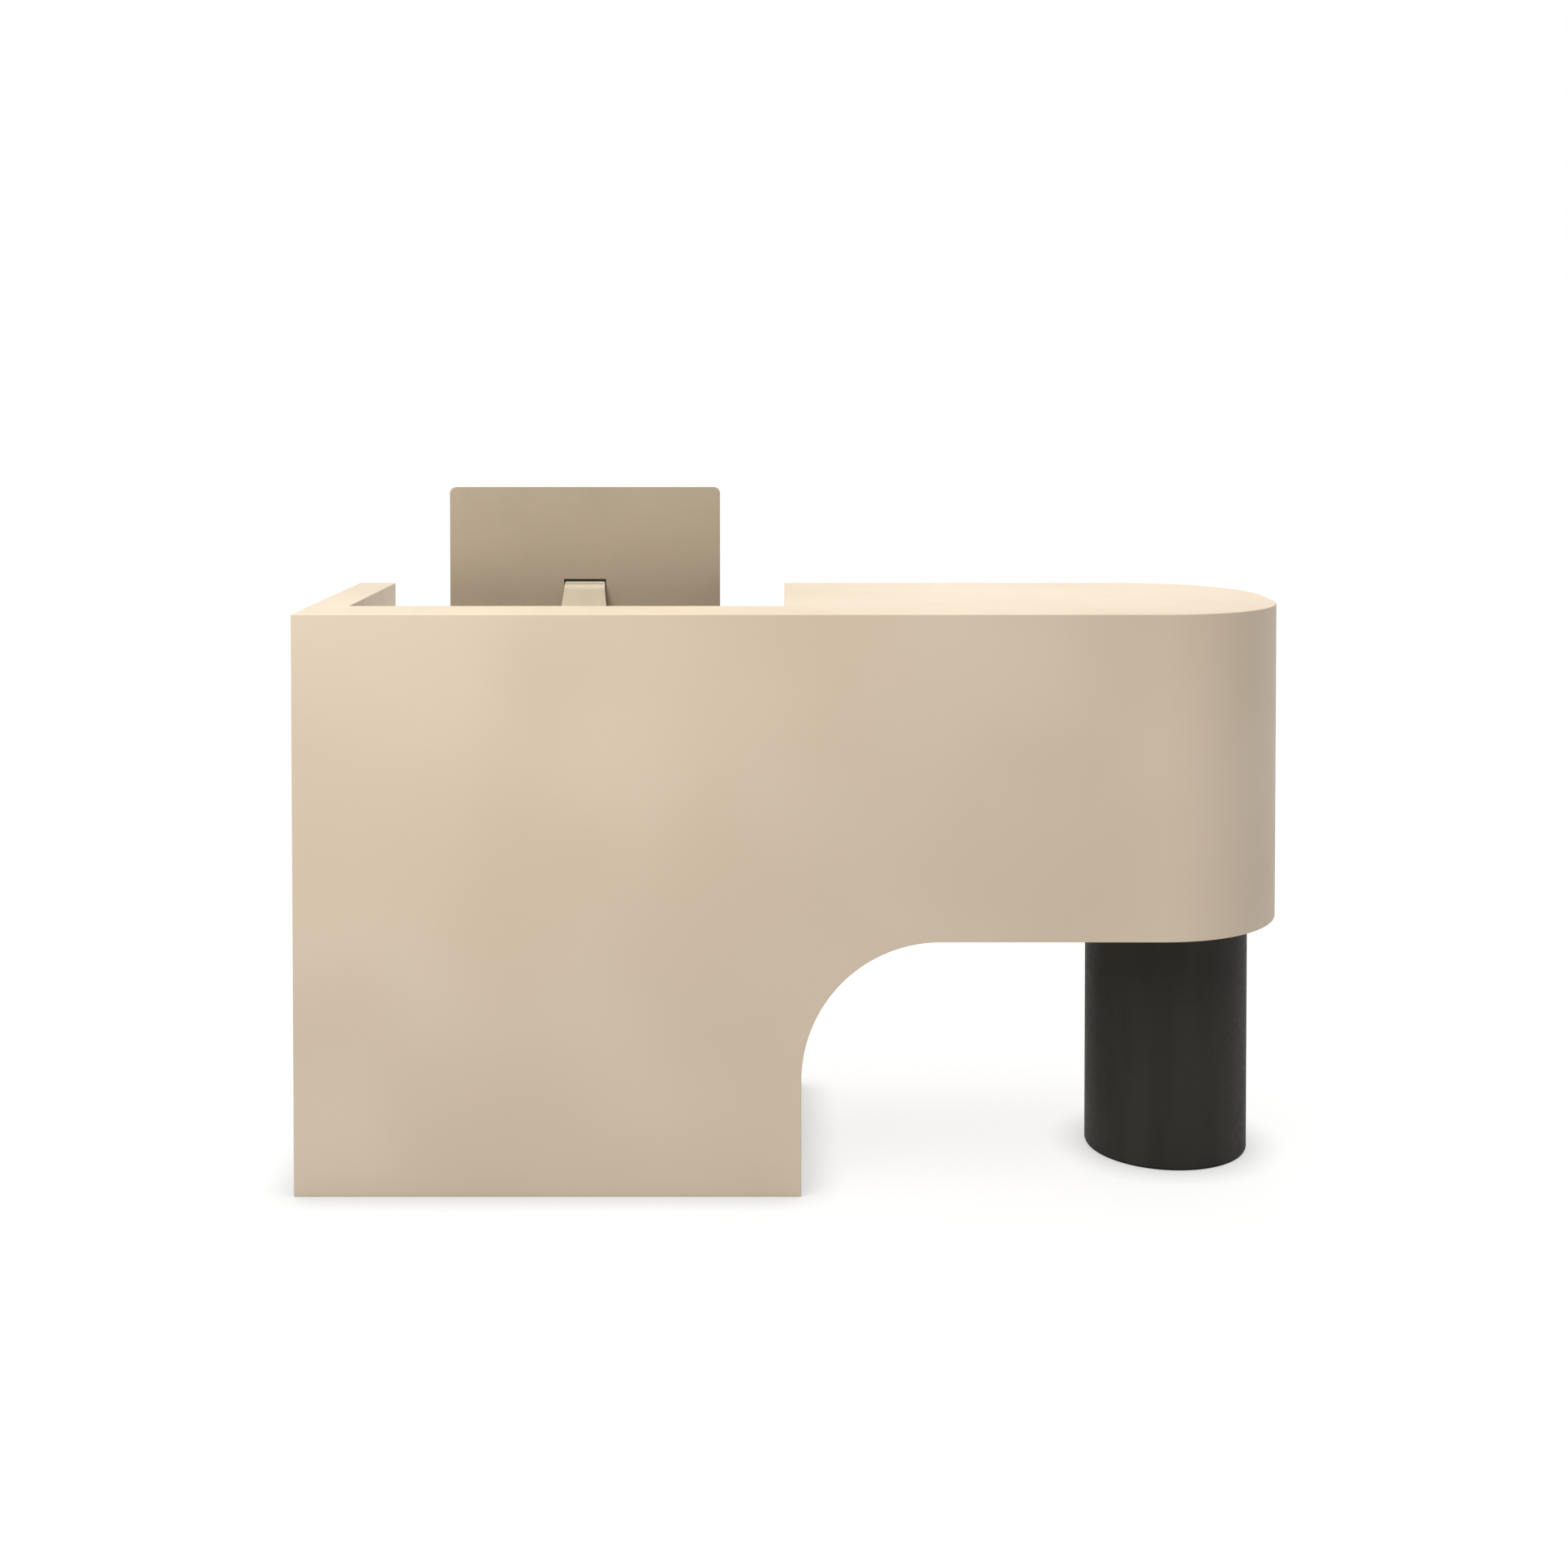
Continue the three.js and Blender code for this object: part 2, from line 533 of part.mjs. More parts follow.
// A door that hangs at its right-hand edge on a piano hinge, against the wall at wallX.
function buildDoor(group, name, leftX, wallX, [z0, z1]) {
  const axis = { x: wallX - HINGE.radius - GAP, y: FACE_Y + HINGE.radius + GAP };
  const zs = [z0 + REVEAL, z1 - REVEAL];
  const places = 2 * Math.round((zs[1] - zs[0]) / HINGE.pitch / 2) + 1;
  const pinAt = (radius) => rod('z', radius, [axis.x, axis.y, zs[0]], zs[1] - zs[0], 12);

  const fixedLeaf = hingeLeaf(wallX - GAP - HINGE.sheet, axis, zs, 0, places);
  add(group, `${name}_hinge_fixed_leaf`, join(fixedLeaf, pinAt(HINGE.pin)), 'steel');

  const door = new THREE.Group();
  group.add(door);
  const edge = axis.x + GAP;
  const movingLeaf = hingeLeaf(edge + GAP, axis, zs, 1, places);
  add(door, `${name}_hinge_moving_leaf`, cut(movingLeaf, pinAt(HINGE.pin + GAP)), 'steel');
  addBoard(door, `${name}_door`, [leftX + REVEAL, edge], [FACE_Y - BOARD, FACE_Y], zs, 'lacquer');
  const knobX = leftX + REVEAL + KNOB_INSET;
  add(door, `${name}_door_pull`, knob(knobX, (z0 + z1) / 2), 'blackMetal');
}

function buildDoors() {
  const group = new THREE.Group();
  buildDoor(group, 'cupboard', CUPBOARD_X, DECK_X, [PEDESTAL_FLOOR_TOP, WORKTOP_UNDERSIDE]);
  buildDoor(group, 'box', BOX_DOOR_X, JAMB_X, [BOX_FLOOR_TOP, TOP_UNDERSIDE]);
  return group;
}

// ------------------------------------------------------------------ till screen

// Foot, neck and tongue bent from one plate, with the tilt barrel across its top. The plate's
// middle line is given in Y from the tilt axis and in Z.
function screenStand() {
  const at = (offset, z) => new THREE.Vector2(TILT_AXIS.y + offset, z);
  const footZ = WORKTOP_Z + GAP + STAND_PLATE / 2;
  const neckZ = WORKTOP_Z + 42;
  const bend = new THREE.QuadraticBezierCurve(at(-75, footZ), at(-112, footZ), at(-97, neckZ));
  const crook = new THREE.QuadraticBezierCurve(
    at(-17, TILT_AXIS.z - 20),
    at(-10.5, TILT_AXIS.z),
    at(0, TILT_AXIS.z),
  );
  const line = [at(65, footZ), ...bend.getPoints(8), ...crook.getPoints(5)];
  const plate = fromSide(ribbon(line, STAND_PLATE), [SCREEN.x - 90, SCREEN.x + 90]);
  const shoulder = TILT_AXIS.z - 14;
  const outline = polygon([
    [SCREEN.x - 75, WORKTOP_Z], [SCREEN.x + 75, WORKTOP_Z], [SCREEN.x + 40, shoulder],
    [SCREEN.x + 39, TILT_AXIS.z + 6], [SCREEN.x - 39, TILT_AXIS.z + 6], [SCREEN.x - 40, shoulder],
  ]);
  const tapered = common(plate, fromElevation(outline, [FRONT, BACK]));
  const { y, z, barrel, halfLength } = TILT_AXIS;
  const barrelRod = rod('x', barrel, [SCREEN.x - halfLength, y, z], 2 * halfLength, 20);
  return join(tapered, barrelRod);
}

function buildScreen() {
  const group = new THREE.Group();
  add(group, 'screen_stand', screenStand(), 'screenStand');

  const midZ = SCREEN.top - SCREEN.height / 2;
  const backY = SCREEN.y;
  const shellYs = [backY, backY + SCREEN_SHELL];
  const panel = fromElevation(roundedRectangle(SCREEN.width, SCREEN.height, SCREEN.corner), shellYs);
  panel.translate(SCREEN.x, 0, midZ);
  const { halfWidth, halfHeight, depth } = SCREEN_SLOT;
  const slotXs = [SCREEN.x - halfWidth, SCREEN.x + halfWidth];
  const slotZs = [TILT_AXIS.z - halfHeight, TILT_AXIS.z + halfHeight];
  const slot = box(slotXs, [backY - OVERSHOOT, backY + depth], slotZs);
  const drill = (x, z, radius, reach, sides) => (
    rod('y', radius, [x, backY - OVERSHOOT, z], reach + OVERSHOOT, sides)
  );
  const [inletX, inletZ] = [SCREEN.x + INLET.right, midZ - INLET.down];
  const [buttonX, buttonZ] = [SCREEN.x + BUTTON.right, midZ - BUTTON.down];
  const inletHole = drill(inletX, inletZ, INLET.radius + GAP, INLET.depth + GAP, 24);
  const buttonReach = BUTTON.length - BUTTON.proud + BUTTON_TRAVEL + 2 * GAP;
  const buttonHole = drill(buttonX, buttonZ, BUTTON.radius + GAP, buttonReach, 20);
  add(group, 'screen_housing', cut(panel, slot, inletHole, buttonHole), 'screenShell');

  // The glass is a little smaller than the housing all round.
  const glassShape = roundedRectangle(SCREEN.width - 3, SCREEN.height - 3, SCREEN.corner - 1.5);
  const glassYs = [shellYs[1] + GAP, shellYs[1] + GAP + SCREEN_GLASS];
  const glass = fromElevation(glassShape, glassYs).translate(SCREEN.x, 0, midZ);
  add(group, 'screen_glass', glass, 'glass');

  const socket = [
    [0, INLET.depth], [0, INLET.floor], [INLET.socket, INLET.floor], [INLET.socket, 0],
    [INLET.radius, 0], [INLET.radius, INLET.depth], [0, INLET.depth],
  ];
  const inlet = add(group, 'screen_power_inlet', turned(socket, 24), 'plastic');
  inlet.position.set(inletX, backY, inletZ);
  const cap = rod('y', BUTTON.radius, [buttonX, backY - BUTTON.proud, buttonZ], BUTTON.length, 20);
  add(group, 'screen_button', cap, 'screenShell');
  return group;
}

// ------------------------------------------------------------------ the counter

const counter = new THREE.Group();
counter.add(buildShell());
counter.add(buildCarcass());
counter.add(buildColumn());
counter.add(buildGrommet());
counter.add(buildDrawers());
counter.add(buildDoors());
counter.add(buildScreen());

export default counter;
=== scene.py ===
"""A shop checkout counter: a lacquered shell with an arch and a rounded raised end on a dark
column, and the drawers, doors, shelves and till screen on its staff side.
"""

import itertools
import json
import math

import bpy
from bpy.props import FloatProperty, FloatVectorProperty, IntProperty, PointerProperty
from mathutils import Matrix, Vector


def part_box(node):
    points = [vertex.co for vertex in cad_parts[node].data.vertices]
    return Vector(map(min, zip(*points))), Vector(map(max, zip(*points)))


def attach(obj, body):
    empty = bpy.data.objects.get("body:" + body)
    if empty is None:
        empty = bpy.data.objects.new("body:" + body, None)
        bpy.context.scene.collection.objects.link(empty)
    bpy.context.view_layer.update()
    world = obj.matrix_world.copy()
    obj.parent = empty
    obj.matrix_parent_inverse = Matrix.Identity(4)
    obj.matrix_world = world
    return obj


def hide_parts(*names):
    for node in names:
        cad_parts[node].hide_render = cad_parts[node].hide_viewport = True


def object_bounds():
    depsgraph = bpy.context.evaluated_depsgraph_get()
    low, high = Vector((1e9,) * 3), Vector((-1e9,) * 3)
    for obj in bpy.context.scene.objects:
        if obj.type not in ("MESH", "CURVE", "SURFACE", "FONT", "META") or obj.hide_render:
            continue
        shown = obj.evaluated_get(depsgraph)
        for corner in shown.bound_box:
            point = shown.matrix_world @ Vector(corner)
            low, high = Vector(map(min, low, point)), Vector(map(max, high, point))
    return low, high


bl_info = {
    "name": "Checkout Counter",
    "version": (1, 0, 0),
    "blender": (4, 5, 0),
    "location": "View3D > Sidebar > Counter",
    "description": "Builds a lacquered checkout counter on its frame of boards and fittings",
    "category": "Add Mesh",
}

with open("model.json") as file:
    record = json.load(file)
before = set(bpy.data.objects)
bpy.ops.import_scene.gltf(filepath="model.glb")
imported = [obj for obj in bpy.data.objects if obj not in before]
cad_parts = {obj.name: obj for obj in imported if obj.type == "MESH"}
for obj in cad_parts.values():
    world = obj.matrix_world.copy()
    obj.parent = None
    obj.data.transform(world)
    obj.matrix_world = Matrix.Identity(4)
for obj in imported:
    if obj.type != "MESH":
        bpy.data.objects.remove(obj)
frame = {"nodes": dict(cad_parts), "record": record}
CAD_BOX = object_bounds()
NODES = frame["nodes"]
SLOT_OF = {part["node"]: part["material_slot"] for part in frame["record"]["subparts"]}
BODIES = frame["record"]["behaviour"]["bodies"]
BODY_OF = {node: body for body, nodes in BODIES.items() for node in nodes}

GAP = 0.0003  # left between pieces that touch
NEAR = 1e-5  # two places closer than this are the same
PAST = 0.1  # how far a cutter reaches past what it cuts
SHARP = math.radians(30)  # edges sharper than this are eased
SMOOTH = math.radians(40)  # edges sharper than this keep their crease


# ---- settings

def length_setting(name, description, default):
    return FloatProperty(name=name, description=description, default=default, unit="LENGTH")


def colour_setting(name, description, default):
    return FloatVectorProperty(
        name=name, description=description, default=default, subtype="COLOR", min=0.0, max=1.0)


def light_setting(name, description, default):
    return FloatProperty(name=name, description=description, default=default, min=0.0)


class CounterSizes(bpy.types.PropertyGroup):
    """Sizes of the finishing work, beyond those of the frame"""

    shell_arris: length_setting(
        "Shell arris", "Rounding along the lacquered shell's edges", 0.0015)
    front_arris: length_setting(
        "Front arris", "Rounding along the edges of doors and drawer fronts", 0.0012)
    board_arris: length_setting(
        "Board arris", "Rounding along the edges of the inner boards", 0.0006)
    metal_arris: length_setting("Metal arris", "Rounding along the edges of sheet metal", 0.0002)
    edge_band: length_setting(
        "Edge band", "Thickness of the band glued to a board's staff-side edge", 0.001)
    arch_radius: length_setting(
        "Arch radius", "Radius of the arch between the pedestal and the raised box", 0.25)
    ledge_depth: length_setting(
        "Ledge depth", "Depth of the customer's ledge in front of the worktop", 0.144)
    screen_corner: length_setting("Screen corner", "Radius of the till screen's corners", 0.0125)
    screen_border: length_setting(
        "Screen border", "Width of the black border round the till screen's picture", 0.011)
    arc_steps: IntProperty(
        name="Arc steps",
        description="Flat steps in each quarter circle of the shell",
        default=48,
        min=8,
        max=96,
    )


class CounterColours(bpy.types.PropertyGroup):
    """Colours of the finishes"""

    lacquer: colour_setting("Lacquer", "The shell's satin lacquer", (0.535, 0.431, 0.325))
    lacquer_cloud: colour_setting(
        "Lacquer cloud", "The paler tone that clouds the lacquer", (0.575, 0.470, 0.361))
    melamine: colour_setting("Melamine", "Facing of the inner boards", (0.63, 0.555, 0.45))
    edge_tape: colour_setting("Edge tape", "Band on the inner boards' edges", (0.58, 0.50, 0.40))
    drawer_board: colour_setting(
        "Drawer board", "Linen foil on the drawer boxes", (0.55, 0.47, 0.36))
    column_paint: colour_setting("Column paint", "Charcoal powder coat", (0.0245, 0.0230, 0.0196))
    steel: colour_setting("Zinc steel", "Runners, hinges and screws", (0.60, 0.61, 0.62))
    nickel: colour_setting("Nickel", "Lock cylinder and shelf pins", (0.66, 0.63, 0.59))
    black_coat: colour_setting("Black coat", "Pulls", (0.018, 0.017, 0.016))
    rubber: colour_setting("Rubber", "Ring under the column", (0.011, 0.011, 0.011))
    plastic: colour_setting("Dark plastic", "Grommet and screen fittings", (0.030, 0.028, 0.025))
    screen_metal: colour_setting(
        "Screen metal", "Blasted aluminium of the screen's housing", (0.375, 0.304, 0.221))
    stand_metal: colour_setting(
        "Stand metal", "Blasted aluminium of the screen's stand", (0.370, 0.312, 0.228))
    glass: colour_setting(
        "Screen glass", "The picture area behind the glass", (0.010, 0.011, 0.013))
    border: colour_setting(
        "Screen border", "Ink round the picture area", (0.0035, 0.0035, 0.0035))


class CounterStudio(bpy.types.PropertyGroup):
    """The camera and lights"""

    camera_place: FloatVectorProperty(
        name="Camera place",
        description="Where the camera stands",
        default=(-0.0256, -3.9365, 1.4499),
        subtype="TRANSLATION",
        unit="LENGTH",
    )
    camera_dip: FloatProperty(
        name="Camera dip",
        description="How far the camera looks down from level",
        default=math.radians(1.362),
        unit="ROTATION",
    )
    camera_lens: FloatProperty(
        name="Lens",
        description="Focal length in millimetres on a 36 mm sensor",
        default=46.84,
    )
    camera_shift: FloatProperty(
        name="Shift",
        description="Upright shift of the lens, in widths of the picture",
        default=-0.22,
    )
    room_light: light_setting("Room light", "Even light from the whole room", 0.1)
    overhead_light: light_setting(
        "Overhead light", "Soft light from the ceiling, in watts a square metre", 4.7)
    key_light: light_setting("Key light", "Soft box at the customer's upper left, in watts", 24.0)
    rear_light: light_setting("Rear light", "Soft box behind the staff side, in watts", 30.0)
    floor_glow: light_setting("Floor glow", "Light that the pale floor gives off by itself", 0.83)


# ---- modelling by hand

def activate(piece):
    """Puts the scene in object mode with one piece selected."""
    if bpy.context.mode != "OBJECT":
        bpy.ops.object.mode_set(mode="OBJECT")
    bpy.ops.object.select_all(action="DESELECT")
    if piece is not None:
        piece.select_set(True)
        bpy.context.view_layer.objects.active = piece


def fix_place(piece):
    """Moves a piece's place, turn and scale into its mesh."""
    activate(piece)
    bpy.ops.object.transform_apply(location=True, rotation=True, scale=True)
    return piece


def named(piece, name):
    piece.name = name
    piece.data.name = name
    return piece


def block(name, low, high):
    """A block between two corners, ready to be shaped."""
    low, high = Vector(low), Vector(high)
    activate(None)
    bpy.ops.mesh.primitive_cube_add(size=1, location=(low + high) / 2, scale=high - low)
    return named(fix_place(bpy.context.active_object), name)


def lying_at(x=None, y=None, z=None):
    """A test for an edge or face that lies wholly at the given coordinates."""
    wanted = [(axis, value) for axis, value in enumerate((x, y, z)) if value is not None]

    def test(mesh, element):
        corners = [mesh.vertices[index].co for index in element.vertices]
        return all(abs(co[axis] - value) < NEAR for co in corners for axis, value in wanted)

    return test


def choose(piece, kind, test=None):
    """Opens a piece in edit mode with all of it selected, or only what passes a test."""
    activate(piece)
    bpy.ops.object.mode_set(mode="EDIT")
    bpy.ops.mesh.select_mode(type=kind)
    bpy.ops.mesh.select_all(action="DESELECT" if test else "SELECT")
    if test:
        bpy.ops.object.mode_set(mode="OBJECT")
        mesh = piece.data
        for element in mesh.edges if kind == "EDGE" else mesh.polygons:
            element.select = test(mesh, element)
        bpy.ops.object.mode_set(mode="EDIT")


def round_edges(piece, radius, steps, **places):
    """Rounds the edges that lie at any mix of the given coordinates."""
    tests = [lying_at(**dict(zip(places, mix))) for mix in itertools.product(*places.values())]
    choose(piece, "EDGE", lambda mesh, edge: any(test(mesh, edge) for test in tests))
    bpy.ops.mesh.bevel(
        offset=radius, segments=steps, profile=0.5, affect="EDGES", clamp_overlap=False)
    bpy.ops.object.mode_set(mode="OBJECT")
    return piece


def apply_modifier(piece, kind, **settings):
    activate(piece)
    modifier = piece.modifiers.new(kind.lower(), kind)
    for setting, value in settings.items():
        setattr(modifier, setting, value)
    bpy.ops.object.modifier_apply(modifier=modifier.name)


def cut(piece, *cutters):
    """Takes the cutters out of a piece."""
    for cutter in cutters:
        apply_modifier(piece, "BOOLEAN", operation="DIFFERENCE", solver="EXACT", object=cutter)
        bpy.data.objects.remove(cutter, do_unlink=True)
    return piece


def smooth(piece):
    """Shades rounded edges smoothly and keeps wide faces flat."""
    activate(piece)
    bpy.ops.object.shade_smooth_by_angle(angle=SMOOTH)
    apply_modifier(piece, "WEIGHTED_NORMAL", keep_sharp=True)
    return piece


def break_edges(piece, width, steps=2):
    """Takes the sharpness off every edge of a piece."""
    apply_modifier(
        piece, "BEVEL", width=width, segments=steps, limit_method="ANGLE", angle_limit=SHARP)


def ease(piece, width, steps=2):
    break_edges(piece, width, steps)
    return smooth(piece)


def middle_of(node, **places):
    """The middle of a frame node's box, with some coordinates put elsewhere."""
    low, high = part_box(node)
    spot = (low + high) / 2
    for axis, place in places.items():
        setattr(spot, axis, place)
    return spot


def turned(name, centre, axis, profile, sides=48, ring=False):
    """Turns a profile of (radius, height) pairs about an axis, as on a lathe.

    A ring's profile ends where it begins. Any other profile is closed flat at both ends.
    """
    along = "XYZ".index(axis)
    tilt = {"X": (0, math.pi / 2, 0), "Y": (math.pi / 2, 0, 0), "Z": (0, 0, 0)}[axis]
    spot = Vector(centre)
    spot[along] += profile[0][1]
    activate(None)
    bpy.ops.mesh.primitive_circle_add(
        vertices=sides, radius=profile[0][0], fill_type="NOTHING", location=spot, rotation=tilt)
    piece = named(fix_place(bpy.context.active_object), name)
    choose(piece, "EDGE")
    for (radius, height), (next_radius, next_height) in zip(profile, profile[1:]):
        step = Vector((0, 0, 0))
        step[along] = next_height - height
        bpy.ops.mesh.extrude_region_move(TRANSFORM_OT_translate={"value": step})
        spot += step
        spread = [next_radius / radius] * 3
        spread[along] = 1
        bpy.ops.transform.resize(value=spread, center_override=spot)
    bpy.ops.mesh.select_all(action="SELECT")
    if ring:
        bpy.ops.mesh.remove_doubles(threshold=NEAR)
    else:
        bpy.ops.mesh.fill_holes(sides=0)
    bpy.ops.mesh.select_all(action="SELECT")
    bpy.ops.mesh.normals_make_consistent(inside=False)
    bpy.ops.object.mode_set(mode="OBJECT")
    return piece


def clean_copy(node, name):
    """A copy of a frame node with its loose triangles merged into whole faces."""
    piece = bpy.data.objects.new(name, NODES[node].data.copy())
    piece.data.name = name
    piece.data.materials.clear()
    bpy.context.scene.collection.objects.link(piece)
    activate(piece)
    bpy.ops.mesh.customdata_custom_splitnormals_clear()
    choose(piece, "FACE")
    bpy.ops.mesh.remove_doubles(threshold=NEAR)
    bpy.ops.mesh.dissolve_limited(angle_limit=math.radians(1))
    bpy.ops.object.mode_set(mode="OBJECT")
    return piece


def copy_at(pattern, spot, facing):
    """A copy of a pattern that was modelled at the origin facing up, moved and turned."""
    piece = pattern.copy()
    piece.data = pattern.data.copy()
    bpy.context.scene.collection.objects.link(piece)
    piece.rotation_euler = Vector(facing).to_track_quat("Z", "Y").to_euler()
    piece.location = spot
    return fix_place(piece)


def join_as(name, pieces):
    """Joins pieces into one that keeps each one's mesh whole."""
    activate(None)
    for piece in pieces:
        piece.select_set(True)
    bpy.context.view_layer.objects.active = pieces[0]
    if len(pieces) > 1:
        bpy.ops.object.join()
    return named(bpy.context.view_layer.objects.active, name)


def discard(piece):
    bpy.data.objects.remove(piece, do_unlink=True)


# ---- finishes

def fill_sockets(node, values):
    for socket, value in values.items():
        node.inputs[socket].default_value = value


def add_node(tree, kind, values=None, **settings):
    """Adds a node to a tree, with the values of its sockets and its own settings."""
    node = tree.nodes.new(kind)
    for setting, value in settings.items():
        setattr(node, setting, value)
    fill_sockets(node, values or {})
    return node


class Finish:
    """A material being mixed, with the nodes that feed its shader."""

    def __init__(self, name, roughness, specular=0.5, sockets=None):
        self.material = bpy.data.materials.new(name)
        if self.material.name != name:
            raise RuntimeError(f"there is already a material named {name}")
        self.material.use_nodes = True
        self.tree = self.material.node_tree
        self.shader = self.tree.nodes["Principled BSDF"]
        fill_sockets(self.shader, {
            "Roughness": roughness, "Specular IOR Level": specular, **(sockets or {})})
        self.coordinates = self.node("ShaderNodeTexCoord")
        self.relief_so_far = None

    def node(self, kind, values=None, **settings):
        return add_node(self.tree, kind, values, **settings)

    def link(self, output, node, socket):
        self.tree.links.new(output, node.inputs[socket])

    def texture(self, kind, values, stretch=(1, 1, 1), **settings):
        """A texture on object coordinates, stretched along each axis."""
        mapping = self.node("ShaderNodeMapping", {"Scale": [1 / ratio for ratio in stretch]})
        self.link(self.coordinates.outputs["Object"], mapping, "Vector")
        texture = self.node(kind, values, **settings)
        self.link(mapping.outputs["Vector"], texture, "Vector")
        return texture.outputs

    def grain(self, size, detail=2.0, stretch=(1, 1, 1)):
        """Soft noise whose features are about this size in metres."""
        values = {"Scale": 1 / size, "Detail": detail}
        return self.texture("ShaderNodeTexNoise", values, stretch)[0]

    def cells(self, size):
        """Rounded cells of about this size in metres."""
        values = {"Scale": 1 / size}
        return self.texture("ShaderNodeTexVoronoi", values, feature="SMOOTH_F1")["Distance"]

    def threads(self, pitch, axis):
        """Parallel threads at a pitch in metres, slightly uneven."""
        values = {"Scale": math.pi / 10 / pitch, "Distortion": 1.2, "Detail Scale": 2.0}
        return self.texture("ShaderNodeTexWave", values, bands_direction=axis)["Fac"]

    def combine(self, first, second, operation="MULTIPLY"):
        node = self.node("ShaderNodeMath", operation=operation)
        self.link(first, node, 0)
        self.link(second, node, 1)
        return node.outputs[0]

    def tones(self, factor, dark, light, low=0.35, high=0.65):
        """Colours the surface between two tones."""
        ramp = self.node("ShaderNodeValToRGB")
        ramp.color_ramp.interpolation = "EASE"
        start, end = ramp.color_ramp.elements
        start.position, end.position = low, high
        start.color = (*dark, 1)
        end.color = (*light, 1)
        self.link(factor, ramp, "Fac")
        self.link(ramp.outputs["Color"], self.shader, "Base Color")

    def shades(self, factor, colour, darkest, palest, low=0.35, high=0.65):
        """Colours the surface between two shades of one colour."""
        dark, light = (
            [min(channel * shade, 1.0) for channel in colour] for shade in (darkest, palest))
        self.tones(factor, dark, light, low, high)

    def gloss(self, factor, smoothest, roughest):
        """Varies the roughness between two values."""
        span = self.node("ShaderNodeMapRange", {
            "From Min": 0.3, "From Max": 0.7, "To Min": smoothest, "To Max": roughest})
        self.link(factor, span, "Value")
        self.link(span.outputs["Result"], self.shader, "Roughness")

    def relief(self, factor, depth, strength):
        """Raises the surface by up to a depth in metres, over any relief before it."""
        bump = self.node("ShaderNodeBump", {"Distance": depth, "Strength": strength})
        self.link(factor, bump, "Height")
        if self.relief_so_far is not None:
            self.link(self.relief_so_far, bump, "Normal")
        self.relief_so_far = bump.outputs["Normal"]
        self.link(self.relief_so_far, self.shader, "Normal")


METAL = {"Metallic": 1.0}
GLOSSY_COAT = {"Coat Weight": 0.4, "Coat Roughness": 0.03}


def mix_lacquer(colours):
    paint = Finish("shell_lacquer", 0.42, 0.25)
    paint.tones(paint.grain(0.42, 1.5), colours.lacquer, colours.lacquer_cloud, 0.3, 0.7)
    paint.gloss(paint.grain(0.06), 0.42, 0.52)
    paint.relief(paint.grain(0.0024, 1.0), 0.00003, 0.5)
    paint.relief(paint.grain(0.0006, 1.0), 0.000008, 0.4)


def mix_melamine(colours):
    facing = Finish("board_melamine", 0.5, 0.4)
    pores = facing.grain(0.0011, 3.0)
    facing.shades(pores, colours.melamine, 0.94, 1.0)
    facing.gloss(facing.grain(0.0035), 0.44, 0.58)
    facing.relief(pores, 0.00004, 0.6)


def mix_edge_tape(colours):
    tape = Finish("edge_tape", 0.4, 0.45)
    streaks = tape.grain(0.0008, 2.0, (30, 1, 1))
    tape.shades(streaks, colours.edge_tape, 0.95, 1.0)
    tape.gloss(tape.grain(0.004), 0.36, 0.46)
    tape.relief(streaks, 0.00002, 0.4)


def mix_linen(colours):
    foil = Finish("drawer_board", 0.6, 0.35)
    warp = foil.combine(foil.threads(0.0011, "X"), foil.threads(0.0011, "Y"))
    weave = foil.combine(warp, foil.threads(0.0013, "Z"), "ADD")
    foil.shades(weave, colours.drawer_board, 0.84, 1.0, 0.15, 1.0)
    foil.gloss(foil.grain(0.004), 0.54, 0.68)
    foil.relief(weave, 0.00005, 0.5)


def mix_column_paint(colours):
    coat = Finish("column_paint", 0.58, 0.12)
    coat.shades(coat.grain(0.09, 2.0, (1, 1, 6)), colours.column_paint, 0.85, 1.2)
    coat.gloss(coat.grain(0.012), 0.54, 0.64)
    coat.relief(coat.grain(0.0012), 0.00006, 0.6)


def mix_steel(colours):
    zinc = Finish("zinc_steel", 0.34, sockets=METAL)
    rolled = zinc.grain(0.0007, 3.0, (1, 40, 1))
    zinc.shades(zinc.grain(0.012, 3.0), colours.steel, 0.94, 1.03)
    zinc.gloss(rolled, 0.31, 0.39)
    zinc.relief(rolled, 0.00001, 0.08)


def mix_nickel(colours):
    plate = Finish("lock_chrome", 0.2, sockets=METAL)
    plate.shades(plate.grain(0.006), colours.nickel, 0.93, 1.05)
    plate.gloss(plate.grain(0.0008, 3.0), 0.18, 0.25)
    plate.relief(plate.grain(0.0003), 0.000003, 0.08)


def mix_black_coat(colours):
    coat = Finish("black_metal", 0.42, 0.4)
    coat.shades(coat.grain(0.008), colours.black_coat, 0.8, 1.25)
    coat.gloss(coat.grain(0.003), 0.36, 0.5)
    coat.relief(coat.grain(0.0005), 0.00003, 0.6)


def mix_rubber(colours):
    rubber = Finish("black_rubber", 0.85, 0.25)
    rubber.shades(rubber.grain(0.004, 3.0), colours.rubber, 0.7, 1.5)
    rubber.gloss(rubber.grain(0.006), 0.78, 0.92)
    rubber.relief(rubber.grain(0.0007, 3.0), 0.00008, 0.7)


def mix_plastic(colours):
    plastic = Finish("dark_plastic", 0.52, 0.42)
    spark = plastic.cells(0.0006)
    plastic.shades(spark, colours.plastic, 0.85, 1.15, 0.1, 0.6)
    plastic.gloss(plastic.grain(0.002), 0.46, 0.6)
    plastic.relief(spark, 0.00004, 0.6)


